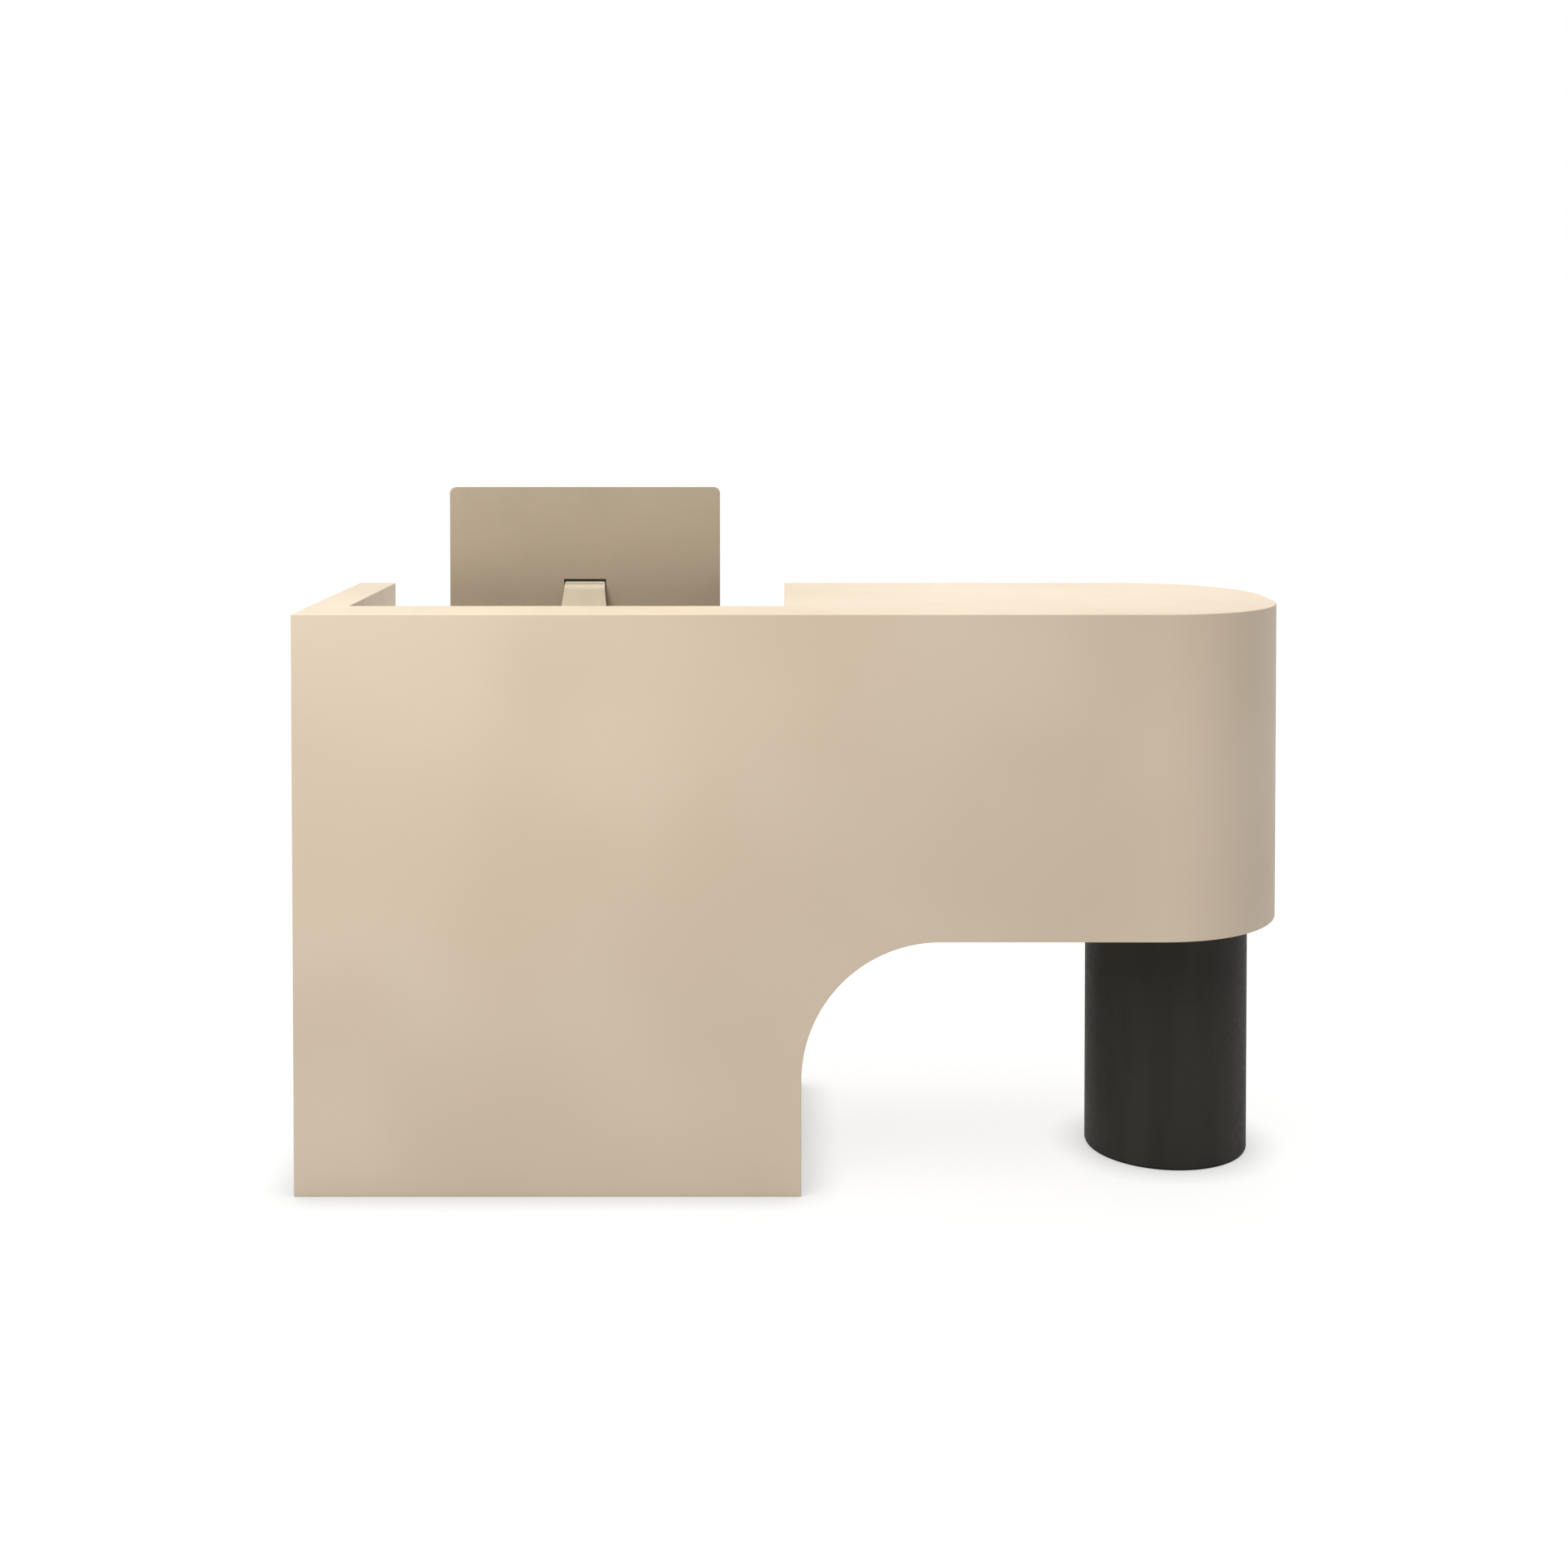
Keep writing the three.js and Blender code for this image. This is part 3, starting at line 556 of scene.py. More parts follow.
def mix_screen_metals(colours):
    """Blasted aluminium, which is a little glossier on the stand."""
    for name, roughest in (("screen_metal", 0.56), ("stand_metal", 0.46)):
        metal = Finish(name, 0.5, 0.3, {"Metallic": 0.35})
        speckle = metal.grain(0.0004, 1.0)
        clouds = metal.combine(metal.grain(0.25, 1.0), speckle, "ADD")
        metal.shades(clouds, getattr(colours, name), 0.94, 1.05, 0.75, 1.25)
        metal.gloss(metal.grain(0.02), roughest - 0.07, roughest)
        metal.relief(speckle, 0.00001, 0.5)


def mix_glass(colours):
    glass = Finish("screen_glass", 0.06, sockets=GLOSSY_COAT)
    glass.shades(glass.grain(0.2, 1.0), colours.glass, 0.9, 1.1)
    glass.gloss(glass.grain(0.035, 4.0), 0.045, 0.1)


def mix_border(colours):
    ink = Finish("screen_border_ink", 0.05, sockets=GLOSSY_COAT)
    ink.shades(ink.grain(0.1), colours.border, 0.9, 1.1)
    ink.gloss(ink.grain(0.035, 4.0), 0.04, 0.08)


MIXERS = (
    mix_lacquer, mix_melamine, mix_edge_tape, mix_linen, mix_column_paint, mix_steel, mix_nickel,
    mix_black_coat, mix_rubber, mix_plastic, mix_screen_metals, mix_glass, mix_border,
)


def dress(piece, slot, body, *nodes):
    """Gives a piece its finish and its body, and lets it stand for nodes of the frame."""
    if slot not in bpy.data.materials:
        raise RuntimeError(f"the finish {slot} has not been mixed")
    if not piece.data.materials:
        piece.data.materials.append(bpy.data.materials[slot])
    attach(piece, body)
    if nodes:
        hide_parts(*nodes)
    return piece


def dress_for(piece, node):
    """Dresses a piece as the frame node that it stands for."""
    return dress(piece, SLOT_OF[node], BODY_OF[node], node)


def eased_copy(node, suffix, width, steps=2):
    """A finished copy of a frame node with its edges eased."""
    piece = clean_copy(node, f"{node}_{suffix}")
    return dress_for(ease(piece, width, steps), node)


# ---- the shell

def arch_cutter(sizes):
    """The space under the arch and the raised box."""
    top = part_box("soffit_panel")[0].z
    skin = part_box("soffit_panel")[1].z - top
    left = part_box("arch_liner")[0].x + skin
    low, high = CAD_BOX
    space = block("arch_space", (left, low.y - PAST, -PAST), (high.x + PAST, high.y + PAST, top))
    return round_edges(space, sizes.arch_radius, sizes.arc_steps, x=[left], z=[top])


class COUNTER_OT_finishes(bpy.types.Operator):
    """Mix every finish that the counter wears"""

    bl_idname = "counter.finishes"
    bl_label = "Mix finishes"

    def execute(self, context):
        for mesh_object in NODES.values():
            mesh_object.data.materials.clear()
        for imported in list(bpy.data.materials):
            bpy.data.materials.remove(imported)
        for mix in MIXERS:
            mix(context.scene.counter_colours)
        for node, mesh_object in NODES.items():
            mesh_object.data.materials.append(bpy.data.materials[SLOT_OF[node]])
        return {"FINISHED"}


class COUNTER_OT_shell(bpy.types.Operator):
    """Carve the lacquered shell, with no joint between its front, end and top"""

    bl_idname = "counter.shell"
    bl_label = "Carve shell"

    def execute(self, context):
        sizes = context.scene.counter_sizes
        top_low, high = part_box("top_board")
        low = Vector((top_low.x, top_low.y, 0))
        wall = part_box("front_panel")[1].y - low.y
        corner = high.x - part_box("end_wrap")[0].x
        divider_low, divider_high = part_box("divider_panel")
        return_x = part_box("return_inner_panel")[1].x
        under = top_low.z

        shell = block("counter_shell", low, high)
        round_edges(shell, corner, sizes.arc_steps, x=[high.x], y=[low.y, high.y])
        inner = Vector((high.x - wall, high.y - wall, 0))
        room = block("room", (divider_high.x, -inner.y, -PAST), (inner.x, inner.y, under))
        round_edges(room, corner - wall, sizes.arc_steps, x=[inner.x], y=[-inner.y, inner.y])
        doorway = block("doorway", (divider_high.x, 0, -PAST),
                        (high.x - corner, high.y + PAST, under))
        bay = block("bay", (return_x, -inner.y, -PAST), (divider_low.x, high.y + PAST, under))
        well = block("well", (return_x, low.y + sizes.ledge_depth, under - PAST),
                     (divider_low.x, high.y + PAST, high.z + PAST))
        cut(shell, arch_cutter(sizes), room, doorway, bay, well)
        ease(shell, sizes.shell_arris, 3)
        dress(shell, "shell_lacquer", "counter", "top_board", "front_panel", "end_wrap",
              "return_outer_panel", "return_inner_panel", "return_end_cap", "divider_panel")
        return {"FINISHED"}


class COUNTER_OT_arch_skin(bpy.types.Operator):
    """Bend the skin that lines the arch and closes the raised box from below"""

    bl_idname = "counter.arch_skin"
    bl_label = "Bend arch skin"

    def execute(self, context):
        sizes = context.scene.counter_sizes
        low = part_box("arch_liner")[0]
        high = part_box("soffit_panel")[1]
        skin = high.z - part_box("soffit_panel")[0].z
        corner = high.x - (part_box("end_wrap")[0].x + GAP)
        blank = block("arch_skin", low, high)
        round_edges(blank, corner, sizes.arc_steps, x=[high.x], y=[low.y, high.y])
        round_edges(blank, sizes.arch_radius + skin, sizes.arc_steps, x=[low.x], z=[high.z])
        cut(blank, arch_cutter(sizes))
        ease(blank, sizes.board_arris)
        dress(blank, "shell_lacquer", "counter", "arch_liner", "soffit_panel")
        return {"FINISHED"}


class COUNTER_OT_rear_fascia(bpy.types.Operator):
    """Cut the staff-side fascia round the raised box's openings"""

    bl_idname = "counter.rear_fascia"
    bl_label = "Cut rear fascia"

    def execute(self, context):
        sizes = context.scene.counter_sizes
        low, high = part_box("rear_frame")
        low.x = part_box("divider_panel")[1].x + GAP
        fascia = block("rear_fascia", low, high)
        skin_low, skin_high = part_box("soffit_panel")
        opening_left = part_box("arch_liner")[0].x + skin_high.z - skin_low.z
        opening = block("opening", (opening_left, low.y - PAST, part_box("box_floor")[1].z),
                        (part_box("box_jamb")[0].x, high.y + PAST, high.z + PAST))
        cut(fascia, arch_cutter(sizes), opening)
        ease(fascia, sizes.shell_arris, 3)
        dress(fascia, "shell_lacquer", "counter", "rear_frame")
        return {"FINISHED"}


# ---- boards inside

def band_edge(piece, thickness):
    """Marks off the edge band on a board's staff-side edge and gives it its own finish."""
    front = max(vertex.co.y for vertex in piece.data.vertices)
    choose(piece, "FACE")
    bpy.ops.mesh.bisect(plane_co=(0, front - thickness, 0), plane_no=(0, 1, 0))
    bpy.ops.object.mode_set(mode="OBJECT")
    piece.data.materials.append(bpy.data.materials["board_melamine"])
    piece.data.materials.append(bpy.data.materials["edge_tape"])
    for face in piece.data.polygons:
        face.material_index = int(face.center.y > front - thickness)


class COUNTER_OT_boards(bpy.types.Operator):
    """Face and edge the boards of the worktop, the pedestal and the raised box"""

    bl_idname = "counter.boards"
    bl_label = "Edge boards"

    def execute(self, context):
        sizes = context.scene.counter_sizes
        banded = ("worktop", "pedestal_floor", "partition_panel", "printer_shelf",
                  "cupboard_shelf", "box_floor", "box_partition", "box_jamb", "niche_shelf")
        for node in banded:
            board = clean_copy(node, f"{node}_banded")
            break_edges(board, sizes.board_arris)
            band_edge(board, sizes.edge_band)
            dress_for(smooth(board), node)
        eased_copy("plinth_rail", "lacquered", sizes.front_arris)
        return {"FINISHED"}


# ---- the column

class COUNTER_OT_column(bpy.types.Operator):
    """Turn the round column, its foot ring and its plates"""

    bl_idname = "counter.column"
    bl_label = "Turn column"

    def execute(self, context):
        low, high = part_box("column_tube")
        centre = middle_of("column_tube", z=0)
        outer = (high.x - low.x) / 2
        inner = (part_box("column_base_plate")[1].x - centre.x) + GAP
        lip = 0.0008
        tube = turned("column_tube_painted", centre, "Z", [
            (inner, low.z + lip), (inner + lip, low.z), (outer - lip, low.z),
            (outer - lip * 0.3, low.z + lip * 0.3), (outer, low.z + lip),
            (outer, high.z - lip), (outer - lip * 0.3, high.z - lip * 0.3),
            (outer - lip, high.z), (inner + lip, high.z), (inner, high.z - lip),
            (inner, low.z + lip),
        ], sides=160, ring=True)
        dress_for(smooth(tube), "column_tube")

        ring_low, ring_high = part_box("column_foot_ring")
        rim = (ring_high.x - ring_low.x) / 2
        bore, soft, thick = 0.120, 0.0005, ring_high.z
        foot = turned("column_foot_ring_moulded", centre, "Z", [
            (bore, soft), (bore + soft, 0), (rim - lip, 0), (rim, lip), (rim, thick - soft),
            (rim - soft, thick), (bore + soft, thick), (bore, thick - soft), (bore, soft),
        ], sides=128, ring=True)
        dress_for(smooth(foot), "column_foot_ring")
        for node in ("column_base_plate", "column_top_flange"):
            eased_copy(node, "deburred", context.scene.counter_sizes.metal_arris)
        return {"FINISHED"}


# ---- worktop grommet

class COUNTER_OT_grommet(bpy.types.Operator):
    """Turn the cable grommet in the worktop and its slotted cap"""

    bl_idname = "counter.grommet"
    bl_label = "Turn grommet"

    def execute(self, context):
        low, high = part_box("cable_grommet")
        centre = middle_of("cable_grommet", z=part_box("worktop")[1].z)
        flange = (high.x - low.x) / 2
        bore, body, bottom, top = 0.027, 0.030, low.z - centre.z, high.z - centre.z
        ledge, ledge_top, ledge_foot = bore - 0.003, -0.003, -0.005
        sleeve = turned("cable_grommet_moulded", centre, "Z", [
            (bore, bottom + 0.0005), (bore + 0.0005, bottom), (body - 0.0006, bottom),
            (body, bottom + 0.0006), (body, GAP), (flange - 0.0004, GAP), (flange, 0.0007),
            (flange - 0.0004, 0.0016), (flange - 0.0013, 0.0025), (flange - 0.003, top),
            (bore + 0.0008, top), (bore + 0.0002, top - 0.0003), (bore, top - 0.0009),
            (bore, ledge_top), (ledge, ledge_top), (ledge, ledge_foot),
            (bore, ledge_foot), (bore, bottom + 0.0005),
        ], sides=72, ring=True)
        dress_for(smooth(sleeve), "cable_grommet")

        cap_low, cap_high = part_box("grommet_cap")
        rim = bore - GAP
        floor, face = cap_low.z - centre.z, cap_high.z - centre.z
        cap = turned("grommet_cap_moulded", centre, "Z", [
            (0.004, floor), (rim - 0.0005, floor), (rim, floor + 0.0005), (rim, face - 0.0006),
            (rim - 0.0006, face), (rim - 0.003, face), (rim - 0.0034, face - 0.0004),
            (rim - 0.0042, face - 0.0004), (rim - 0.0046, face), (0.004, face),
        ], sides=72)
        slot_start, slot_half, slot_corner = centre.x + 0.012, 0.008, 0.005
        slot_front, slot_back = centre.y - slot_half, centre.y + slot_half
        slot = block("slot", (slot_start, slot_front, centre.z - PAST),
                     (centre.x + PAST, slot_back, centre.z + PAST))
        round_edges(slot, slot_corner, 8, x=[slot_start], y=[slot_front, slot_back])
        cut(cap, slot)
        dress_for(ease(cap, 0.0002, 1), "grommet_cap")
        return {"FINISHED"}


# ---- drawers and doors

DRAWERS = ("top_drawer", "lower_drawer")
DOORS = ("cupboard", "box")
SIDES = (("left", 1), ("right", -1))  # each side of a drawer, and the way inwards from it
BOARD_OF = {  # what each pull is screwed to
    "top_drawer_pull": "top_drawer_front",
    "lower_drawer_pull": "lower_drawer_front",
    "cupboard_door_pull": "cupboard_door",
    "box_door_pull": "box_door",
}


class COUNTER_OT_fronts(bpy.types.Operator):
    """Finish the drawers' fronts and foil-wrapped boxes, and the doors with their hinges"""

    bl_idname = "counter.fronts"
    bl_label = "Finish drawers and doors"

    def execute(self, context):
        sizes = context.scene.counter_sizes
        for drawer in DRAWERS:
            eased_copy(f"{drawer}_front", "lacquered", sizes.front_arris, 3)
            for part in ("left_side", "right_side", "back", "bottom"):
                eased_copy(f"{drawer}_{part}", "wrapped", sizes.board_arris)
        for door in DOORS:
            eased_copy(f"{door}_door", "lacquered", sizes.front_arris, 3)
            for leaf in ("fixed", "moving"):
                node = f"{door}_hinge_{leaf}_leaf"
                dress_for(smooth(clean_copy(node, f"{node}_rolled")), node)
        return {"FINISHED"}


def rail_face(drawer, side, inward, off_wall):
    """The corners of a fixed rail's box, and a place off the wall that it's screwed to."""
    low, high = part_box(f"{drawer}_rail_{side}")
    wall = low.x if inward > 0 else high.x
    return low, high, wall + inward * off_wall


class COUNTER_OT_runners(bpy.types.Operator):
    """Finish the drawer runners, with a roller at the mouth of each fixed rail"""

    bl_idname = "counter.runners"
    bl_label = "Finish runners"

    def execute(self, context):
        sizes = context.scene.counter_sizes
        off_wall, setback = 0.0052, 0.016
        for drawer in DRAWERS:
            for side, inward in SIDES:
                for part in ("rail", "runner"):
                    eased_copy(f"{drawer}_{part}_{side}", "zinc", sizes.metal_arris, 1)
                low, high, roller_x = rail_face(drawer, side, inward, off_wall)
                hub = (roller_x, high.y - setback, (low.z + high.z) / 2)
                roller = turned(f"{drawer}_roller_{side}", hub, "X", [
                    (0.0045, -0.0018), (0.0115, -0.0018), (0.0125, -0.001), (0.0125, 0.001),
                    (0.0115, 0.0018), (0.0045, 0.0018), (0.0040, 0.0012), (0.0025, 0.0012),
                ], sides=40)
                dress(smooth(roller), "dark_plastic", "counter")
        return {"FINISHED"}


class COUNTER_OT_pulls(bpy.types.Operator):
    """Turn the flared pulls of the drawers and doors"""

    bl_idname = "counter.pulls"
    bl_label = "Turn pulls"

    def execute(self, context):
        for node in BOARD_OF:
            seat = middle_of(node, y=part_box(node)[0].y)
            pull = turned(f"{node}_turned", seat, "Y", [
                (0.0055, 0), (0.0060, 0.0003), (0.0060, 0.0008), (0.0052, 0.0016),
                (0.0046, 0.0030), (0.0044, 0.0050), (0.0045, 0.0070), (0.0052, 0.0090),
                (0.0066, 0.0110), (0.0082, 0.0126), (0.0091, 0.0138), (0.0095, 0.0152),
                (0.0095, 0.0175), (0.0092, 0.0188), (0.0085, 0.0197), (0.0078, 0.0200),
                (0.0068, 0.0200), (0.0062, 0.0197), (0.0030, 0.0195),
            ], sides=64)
            dress_for(smooth(pull), node)
        return {"FINISHED"}


class COUNTER_OT_lock(bpy.types.Operator):
    """Turn the top drawer's key cylinder and cut its keyway"""

    bl_idname = "counter.lock"
    bl_label = "Turn lock"

    def execute(self, context):
        low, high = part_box("drawer_lock")
        collar = 0.0120
        axis_x, axis_z = high.x - collar, (low.z + high.z) / 2
        length = high.y - low.y
        barrel = turned("drawer_lock_cylinder", (axis_x, low.y, axis_z), "Y", [
            (0.0088, 0.002), (0.0093, 0.0025), (0.0093, length - 0.003), (0.0116, length - 0.003),
            (collar, length - 0.0026), (collar, length - 0.0010), (0.0116, length - 0.0003),
            (0.0108, length), (0.0092, length), (0.0088, length - 0.0005),
            (0.0086, length - 0.0012), (0.0081, length - 0.0012), (0.0079, length - 0.0006),
            (0.0030, length - 0.0006),
        ], sides=64)
        key_floor = high.y - 0.0026
        cut(barrel, *(
            block("keyway", (axis_x - half_width, key_floor, axis_z - half_height),
                  (axis_x + half_width, high.y + PAST, axis_z + half_height))
            for half_width, half_height in ((0.0009, 0.0045), (0.0016, 0.0016))
        ))
        smooth(barrel)
        half, thick, corner = 0.005, 0.0025, 0.004
        cam_foot, cam_top = axis_z - half, axis_z + half
        cam = block("cam", (low.x, low.y, cam_foot), (axis_x + half, low.y + thick, cam_top))
        round_edges(cam, corner, 8, x=[low.x], z=[cam_foot, cam_top])
        ease(cam, context.scene.counter_sizes.metal_arris)
        dress_for(join_as("drawer_lock_cylinder", [barrel, cam]), "drawer_lock")
        return {"FINISHED"}


# ---- small fittings

SHEET = 0.0015  # thickness of the hinge leaves and of the rails' webs
SUNK = -0.0002  # where a small fitting starts, just inside the face that it sits on


def screw_pattern(radius, height):
    """A screw head with a cross recess, at the origin facing up."""
    head = turned("screw", (0, 0, 0), "Z", [
        (radius, SUNK), (radius, height * 0.2), (radius * 0.9, height * 0.75),
        (radius * 0.65, height),
    ], sides=20)
    arm, half, floor = radius * 0.55, radius * 0.12, height * 0.3
    return cut(
        head,
        block("slot", (-arm, -half, floor), (arm, half, PAST)),
        block("slot", (-half, -arm, floor), (half, arm, PAST)),
    )


def set_copies(pattern, name, slot, body, places):
    """Copies a pattern to each (place, facing) and joins the copies into one piece."""
    copies = [copy_at(pattern, place, facing) for place, facing in places]
    return dress(smooth(join_as(name, copies)), slot, body)


def evenly(first, last, count):
    return [first + (last - first) * index / (count - 1) for index in range(count)]


def on_both_walls(left, right, spots):
    """Places at each (y, z) on two walls that face each other."""
    places = []
    for y, z in spots:
        places += [((left, y, z), (1, 0, 0)), ((right, y, z), (-1, 0, 0))]
    return places


class COUNTER_OT_screws(bpy.types.Operator):
    """Set the screws of the hinges, the runners and the pulls"""

    bl_idname = "counter.screws"
    bl_label = "Set screws"

    def execute(self, context):
        flush = screw_pattern(radius=0.0032, height=0.00012)
        end_margin, edge_margin = 0.035, 0.007
        for door, count in zip(DOORS, (7, 6)):
            for leaf, side in (("fixed", -1), ("moving", 1)):
                node = f"{door}_hinge_{leaf}_leaf"
                low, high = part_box(node)
                door_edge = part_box(f"{door}_door")[1].x + GAP
                face = door_edge + SHEET if leaf == "moving" else high.x - SHEET
                heights = evenly(low.z + end_margin, high.z - end_margin, count)
                places = [((face, low.y + edge_margin, z), (side, 0, 0)) for z in heights]
                set_copies(flush, f"{node}_screws", "zinc_steel", BODY_OF[node], places)
        discard(flush)

        domed = screw_pattern(radius=0.0035, height=0.0011)
        front_margin, back_margin = 0.060, 0.045
        for drawer in DRAWERS:
            places = []
            for side, inward in SIDES:
                low, high, face = rail_face(drawer, side, inward, SHEET)
                for y in evenly(low.y + back_margin, high.y - front_margin, 4):
                    places.append(((face, y, (low.z + high.z) / 2), (inward, 0, 0)))
            set_copies(domed, f"{drawer}_rail_screws", "zinc_steel", "counter", places)
        discard(domed)

        pan = screw_pattern(radius=0.0042, height=0.0022)
        for pull, board in BOARD_OF.items():
            seat = middle_of(pull, y=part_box(board)[0].y)
            set_copies(pan, f"{pull}_screw", "zinc_steel", BODY_OF[pull], [(seat, (0, -1, 0))])
        discard(pan)
        return {"FINISHED"}


class COUNTER_OT_shelf_pins(bpy.types.Operator):
    """Set the pins under the two loose shelves"""

    bl_idname = "counter.shelf_pins"
    bl_label = "Set shelf pins"

    def execute(self, context):
        pin = turned("pin", (0, 0, 0), "Z", [
            (0.0040, SUNK), (0.0040, 0.0006), (0.0036, 0.0010), (0.0026, 0.0010),
            (0.0025, 0.0014), (0.0025, 0.0085), (0.0020, 0.0090), (0.0010, 0.0090),
        ], sides=24)
        drop, wall_margin, mouth_margin = 0.0042, 0.06, 0.05
        for shelf in ("cupboard_shelf", "niche_shelf"):
            low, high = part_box(shelf)
            z = low.z - drop
            places = on_both_walls(
                low.x - GAP, high.x + GAP, [(low.y + wall_margin, z), (high.y - mouth_margin, z)])
            set_copies(pin, f"{shelf}_pins", "lock_chrome", "counter", places)
        discard(pin)
        return {"FINISHED"}


class COUNTER_OT_covers(bpy.types.Operator):
    """Press in the caps that cover the carcass's connecting bolts"""

    bl_idname = "counter.covers"
    bl_label = "Press in bolt covers"

    def execute(self, context):
        cover = turned("cover", (0, 0, 0), "Z", [
            (0.0085, SUNK), (0.0087, 0.0003), (0.0084, 0.0007), (0.0076, 0.0009),
            (0.0020, 0.0011),
        ], sides=32)
        off_board, margin = 0.034, 0.06
        niche_low, niche_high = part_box("niche_shelf")
        depths = (niche_low.y + margin, niche_high.y - margin)
        for name, shelf, heights in (
            ("niche", "niche_shelf",
             (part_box("box_floor")[1].z + off_board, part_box("box_partition")[1].z - off_board)),
            ("printer_bay", "printer_shelf", (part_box("printer_shelf")[1].z + off_board,)),
        ):
            low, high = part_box(shelf)
            places = on_both_walls(
                low.x - GAP, high.x + GAP, [(y, z) for z in heights for y in depths])
            set_copies(cover, f"{name}_bolt_covers", "board_melamine", "counter", places)
        discard(cover)
        return {"FINISHED"}


# ---- till screen

class COUNTER_OT_screen(bpy.types.Operator):
    """Shape the till screen's metal housing, its glass and the lining of its slot"""

    bl_idname = "counter.screen"
    bl_label = "Shape screen"

    def execute(self, context):
        sizes = context.scene.counter_sizes
        low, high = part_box("screen_housing")
        corner = sizes.screen_corner
        housing = block("screen_housing_blasted", low, high)
        round_edges(housing, corner, 16, x=[low.x, high.x], z=[low.z, high.z])

        middle = (low.x + high.x) / 2
        barrel = 0.0045  # radius of the stand's barrel, which turns in the slot
        half_width, half_height, depth = 0.041, 0.009, 0.008
        slot_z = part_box("screen_stand")[1].z - barrel
        slot_low = Vector((middle - half_width, low.y, slot_z - half_height))
        slot_high = Vector((middle + half_width, low.y + depth, slot_z + half_height))
        slot = block("slot", slot_low - Vector((0, PAST, 0)), slot_high)
        holes = [
            turned("bore", middle_of(node, y=low.y), "Y", [(bore, -PAST), (bore, reach)])
            for node, bore, reach in (
                ("screen_power_inlet", 0.0093, 0.0063), ("screen_button", 0.0054, 0.005))
        ]
        cut(housing, slot, *holes)
        ease(housing, 0.0011, 3)
        dress_for(housing, "screen_housing")

        setback, wall = 0.0012, 0.0006
        lining = block("screen_slot_lining", slot_low + Vector((GAP, setback, GAP)),
                       slot_high - Vector((GAP, GAP, GAP)))
        choose(lining, "FACE", lying_at(y=slot_low.y + setback))
        bpy.ops.mesh.inset(thickness=wall)
        inwards = (0, depth - GAP - setback - wall, 0)
        bpy.ops.mesh.extrude_region_move(TRANSFORM_OT_translate={"value": inwards})
        bpy.ops.object.mode_set(mode="OBJECT")
        dress(ease(lining, 0.0001, 1), "dark_plastic", "screen")

        low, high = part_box("screen_glass")
        inset = 0.0015  # how much smaller the glass is than the housing, all round
        glass = block("screen_glass_polished", low, high)
        round_edges(glass, corner - inset, 16, x=[low.x, high.x], z=[low.z, high.z])
        break_edges(glass, 0.0004, 3)
        for finish in ("screen_border_ink", "screen_glass"):
            glass.data.materials.append(bpy.data.materials[finish])
        patch = sizes.screen_border + corner  # keeps the fans of the round corners small
        for axis in (0, 2):
            across = Vector((0, 0, 0))
            across[axis] = 1
            for place in (low[axis] + patch, high[axis] - patch):
                choose(glass, "FACE", lying_at(y=high.y))
                bpy.ops.mesh.bisect(plane_co=across * place, plane_no=across)
        choose(glass, "FACE", lying_at(y=high.y))
        bpy.ops.mesh.inset(thickness=sizes.screen_border, depth=0)
        glass.active_material_index = 1
        bpy.ops.object.material_slot_assign()
        bpy.ops.object.mode_set(mode="OBJECT")
        dress_for(smooth(glass), "screen_glass")
        return {"FINISHED"}


class COUNTER_OT_screen_fittings(bpy.types.Operator):
    """Turn the till screen's power inlet, pins and button, and finish its bent stand"""

    bl_idname = "counter.screen_fittings"
    bl_label = "Finish screen fittings"

    def execute(self, context):
        low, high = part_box("screen_power_inlet")
        mouth = middle_of("screen_power_inlet", y=low.y)
        rim, depth = (high.x - low.x) / 2, high.y - low.y
        socket, floor = 0.0065, depth - 0.001
        inlet = turned("screen_power_inlet_moulded", mouth, "Y", [
            (rim - 0.0004, depth), (rim, depth - 0.0004), (rim, 0.0004), (rim - 0.0004, 0),
            (socket + 0.0004, 0), (socket, 0.0005), (socket, floor), (0.0020, floor),
        ])
        dress_for(smooth(inlet), "screen_power_inlet")
        pin = turned("pin", (0, 0, 0), "Z", [
            (0.00075, SUNK), (0.00075, 0.0030), (0.00055, 0.0034), (0.0002, 0.0035),
        ], sides=16)
        pin_circle = 0.0032
        places = []
        for turn in (90, 210, 330):
            angle = math.radians(turn)
            spot = mouth + Vector((math.cos(angle), 0, math.sin(angle))) * pin_circle
            spot.y += floor
            places.append((spot, (0, -1, 0)))
        set_copies(pin, "screen_power_inlet_pins", "lock_chrome", "screen", places)
        discard(pin)

        low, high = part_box("screen_button")
        rim, length = (high.x - low.x) / 2, high.y - low.y
        button = turned("screen_button_turned", middle_of("screen_button", y=low.y), "Y", [
            (rim - 0.0003, length), (rim, length - 0.0003), (rim, 0.0005),
            (rim - 0.0002, 0.0001), (rim - 0.0006, 0), (rim - 0.0012, 0.0002),
            (rim - 0.0024, 0.0004), (0.001, 0.0005),
        ])
        dress_for(smooth(button), "screen_button")
        eased_copy("screen_stand", "blasted", 0.0006)
        return {"FINISHED"}


# ---- studio

PALE = (1.0, 0.995, 0.985, 1.0)
WHITE = (1.0, 1.0, 1.0, 1.0)
COOL = (0.95, 0.985, 1.0)
WARM = (1.0, 0.98, 0.95)
FLOOR_SIZE = 160
FLOOR_DROP = 0.0004  # keeps the floor clear of the faces that stand on it
SHADOW_REACH = 0.08  # how far from the object the floor's glow starts to fade into a painted contact shadow
SHADOW_GLOW = 0.45  # share of that glow left where they meet
MIRRORED_ROOM = 0.45  # brightness of the room in the gloss of a piece
OVERHEAD_SPREAD = math.radians(80)
SOFTBOX_WIDTH, SOFTBOX_HEIGHT = 1.3, 0.9


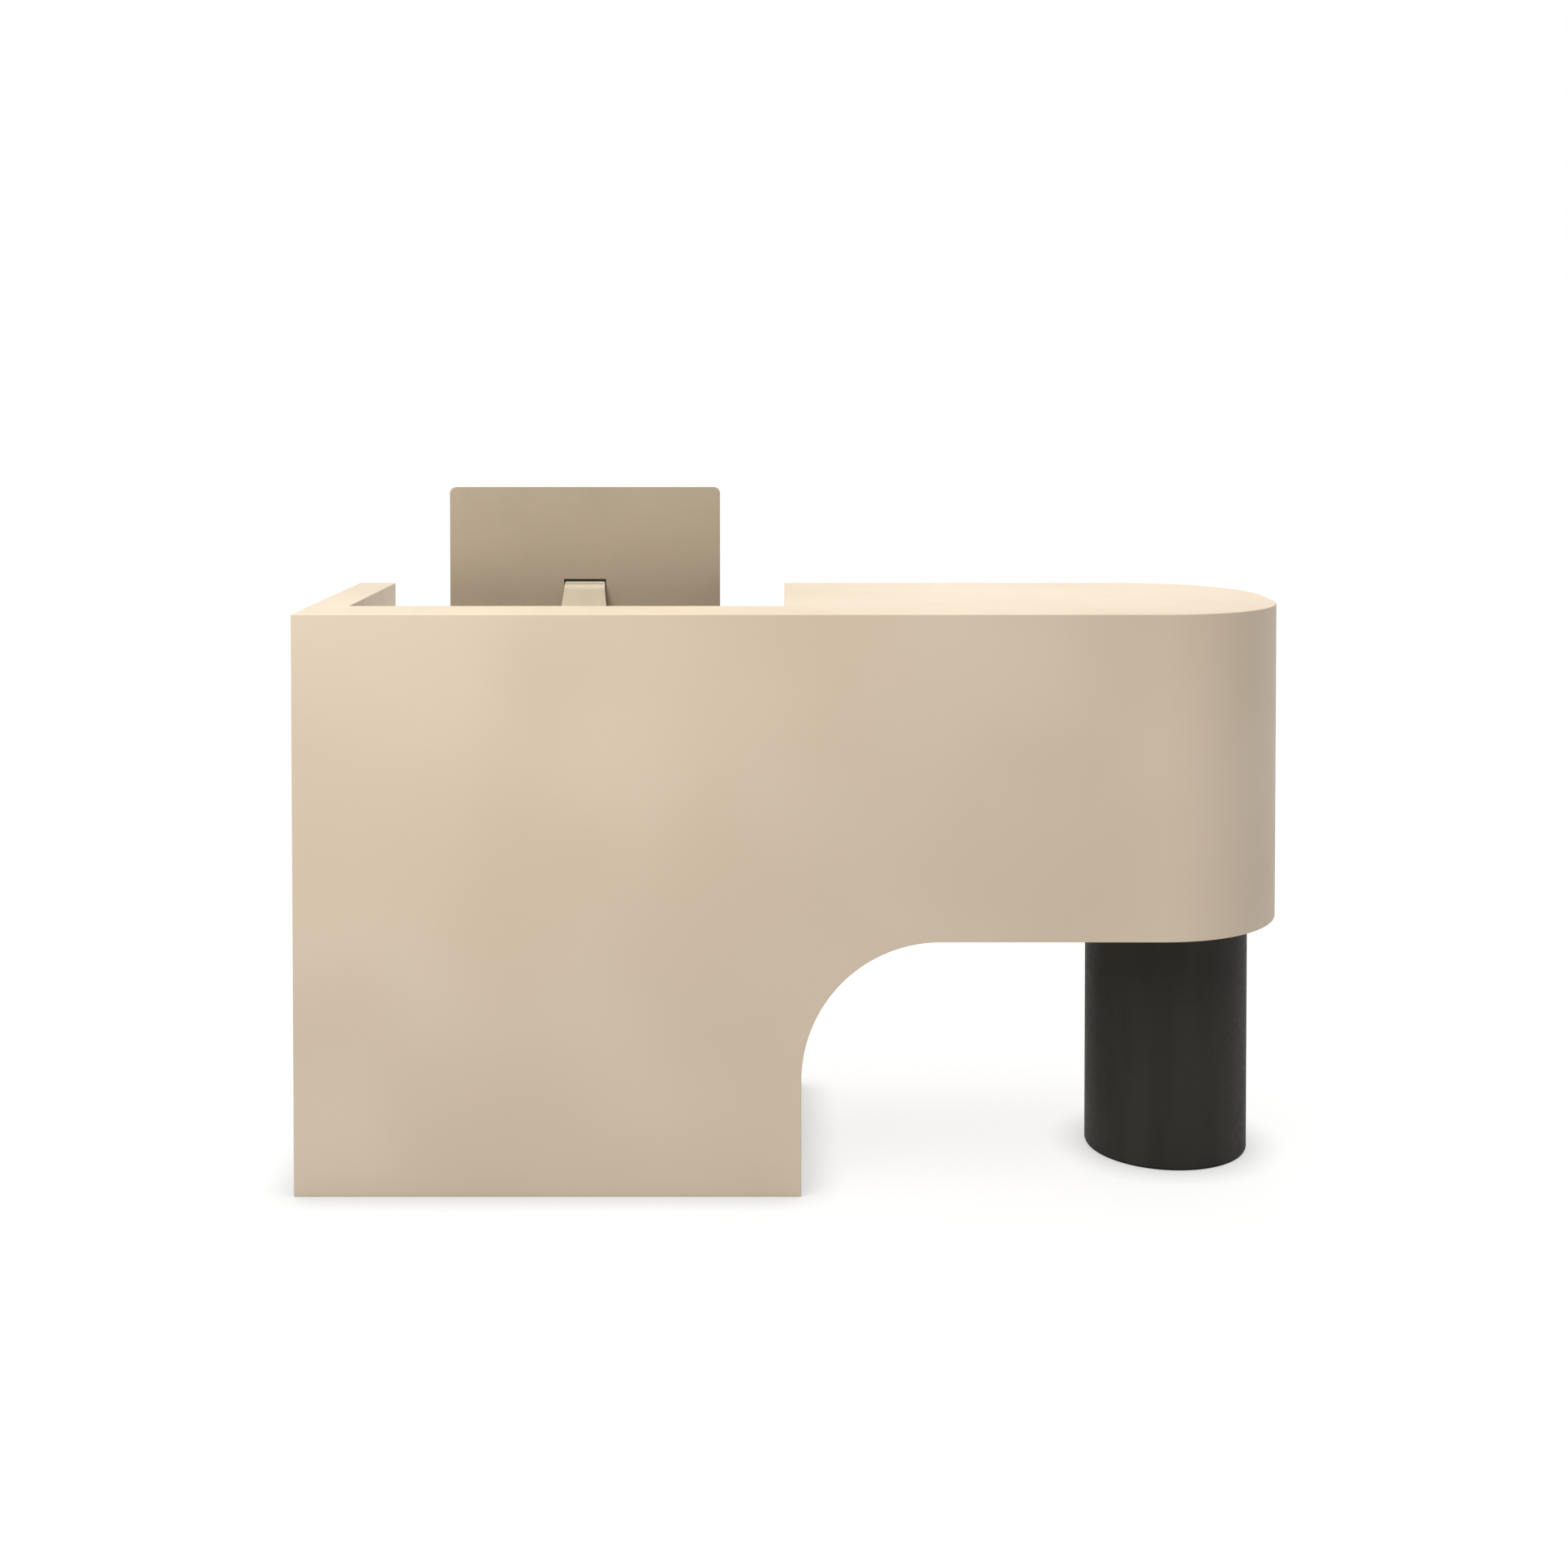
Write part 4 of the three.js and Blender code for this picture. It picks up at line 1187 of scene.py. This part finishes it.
def add_light(kind, name, place, target, energy, tint):
    activate(None)
    bpy.ops.object.light_add(type=kind, location=place)
    light = bpy.context.active_object
    light.name = name
    aim = Vector(target) - Vector(place)
    light.rotation_euler = aim.to_track_quat("-Z", "Y").to_euler()
    light.data.energy = energy
    light.data.color = tint
    light.visible_camera = False
    return light


def lay_floor(glow):
    """A pale floor that glows by itself, its glow dimmed right beside what stands on it as a
    painted contact shadow.
    """
    activate(None)
    bpy.ops.mesh.primitive_plane_add(size=FLOOR_SIZE, location=(0, 0, -FLOOR_DROP))
    floor = named(bpy.context.active_object, "studio_floor")
    surface = Finish("studio_floor", 0.9, 0.0, {"Emission Color": PALE})
    surface.tones(surface.grain(0.8), (0.125, 0.124, 0.122), (0.135, 0.134, 0.132))
    # painted contact shadow: ambient occlusion dims the floor's glow beside what stands on it
    painted_shadow_occlusion = surface.node("ShaderNodeAmbientOcclusion", {"Distance": SHADOW_REACH})
    fade = surface.node("ShaderNodeMapRange", {"To Min": SHADOW_GLOW * glow, "To Max": glow})
    surface.link(painted_shadow_occlusion.outputs["AO"], fade, "Value")
    surface.link(fade.outputs["Result"], surface.shader, "Emission Strength")
    floor.data.materials.append(surface.material)


def light_room(scene, strength):
    """A room that lights weakly, shows brighter in gloss and is white behind the object."""
    scene.world = bpy.data.worlds.new("studio_room")
    scene.world.use_nodes = True
    tree = scene.world.node_tree
    shown = tree.nodes["Background"]
    fill_sockets(shown, {"Color": PALE, "Strength": strength})
    ray = add_node(tree, "ShaderNodeLightPath")
    for kind, brightness in (("Is Glossy Ray", MIRRORED_ROOM), ("Is Camera Ray", 1.0)):
        background = add_node(
            tree, "ShaderNodeBackground", {"Color": WHITE, "Strength": brightness})
        choice = add_node(tree, "ShaderNodeMixShader")
        tree.links.new(ray.outputs[kind], choice.inputs["Fac"])
        tree.links.new(shown.outputs[0], choice.inputs[1])
        tree.links.new(background.outputs[0], choice.inputs[2])
        shown = choice
    tree.links.new(shown.outputs[0], tree.nodes["World Output"].inputs["Surface"])


class COUNTER_OT_studio(bpy.types.Operator):
    """Set up the pale floor, the soft lights and the camera"""

    bl_idname = "counter.studio"
    bl_label = "Set up studio"

    def execute(self, context):
        studio = context.scene.counter_studio
        scene = context.scene
        scene.view_settings.view_transform = "Standard"
        lay_floor(studio.floor_glow)
        light_room(scene, studio.room_light)

        overhead = add_light(
            "SUN", "overhead", (-0.2, -0.1, 3.0), (0, 0, 0.6), studio.overhead_light, COOL)
        overhead.data.angle = OVERHEAD_SPREAD
        for name, place, target, energy in (
            ("key_softbox", (-1.15, -1.85, 1.95), (-0.5, -0.3, 0.92), studio.key_light),
            ("rear_softbox", (0.6, 2.1, 1.6), (-0.3, 0.3, 0.8), studio.rear_light),
        ):
            softbox = add_light("AREA", name, place, target, energy, WARM)
            softbox.data.shape = "RECTANGLE"
            softbox.data.size = SOFTBOX_WIDTH
            softbox.data.size_y = SOFTBOX_HEIGHT
            softbox.visible_glossy = name == "key_softbox"

        bpy.ops.object.camera_add(
            location=studio.camera_place, rotation=(math.pi / 2 - studio.camera_dip, 0, 0))
        camera = bpy.context.active_object
        camera.name = "camera"
        camera.data.sensor_width = 36
        camera.data.lens = studio.camera_lens
        camera.data.shift_y = studio.camera_shift
        camera.data.dof.use_dof = False
        scene.camera = camera
        return {"FINISHED"}


# ---- panel and registration

OPERATORS = (
    COUNTER_OT_finishes,
    COUNTER_OT_shell,
    COUNTER_OT_arch_skin,
    COUNTER_OT_rear_fascia,
    COUNTER_OT_boards,
    COUNTER_OT_column,
    COUNTER_OT_grommet,
    COUNTER_OT_fronts,
    COUNTER_OT_runners,
    COUNTER_OT_pulls,
    COUNTER_OT_lock,
    COUNTER_OT_screws,
    COUNTER_OT_shelf_pins,
    COUNTER_OT_covers,
    COUNTER_OT_screen,
    COUNTER_OT_screen_fittings,
    COUNTER_OT_studio,
)

SETTINGS = (
    ("counter_sizes", CounterSizes),
    ("counter_colours", CounterColours),
    ("counter_studio", CounterStudio),
)


class COUNTER_PT_panel(bpy.types.Panel):
    """The counter's settings and the steps that build it"""

    bl_idname = "COUNTER_PT_panel"
    bl_label = "Checkout Counter"
    bl_space_type = "VIEW_3D"
    bl_region_type = "UI"
    bl_category = "Counter"

    def draw(self, context):
        layout = self.layout
        for name, group in SETTINGS:
            box = layout.box()
            for setting in group.__annotations__:
                box.prop(getattr(context.scene, name), setting)
        for operator in OPERATORS:
            layout.operator(operator.bl_idname)


def register():
    for name, group in SETTINGS:
        bpy.utils.register_class(group)
        setattr(bpy.types.Scene, name, PointerProperty(type=group))
    for operator in OPERATORS:
        bpy.utils.register_class(operator)
    bpy.utils.register_class(COUNTER_PT_panel)


def unregister():
    bpy.utils.unregister_class(COUNTER_PT_panel)
    for operator in reversed(OPERATORS):
        bpy.utils.unregister_class(operator)
    for name, group in reversed(SETTINGS):
        delattr(bpy.types.Scene, name)
        bpy.utils.unregister_class(group)


def main():
    register()
    for operator in OPERATORS:
        family, step = operator.bl_idname.split(".")
        getattr(getattr(bpy.ops, family), step)()
    activate(None)


if __name__ == "__main__":
    main()
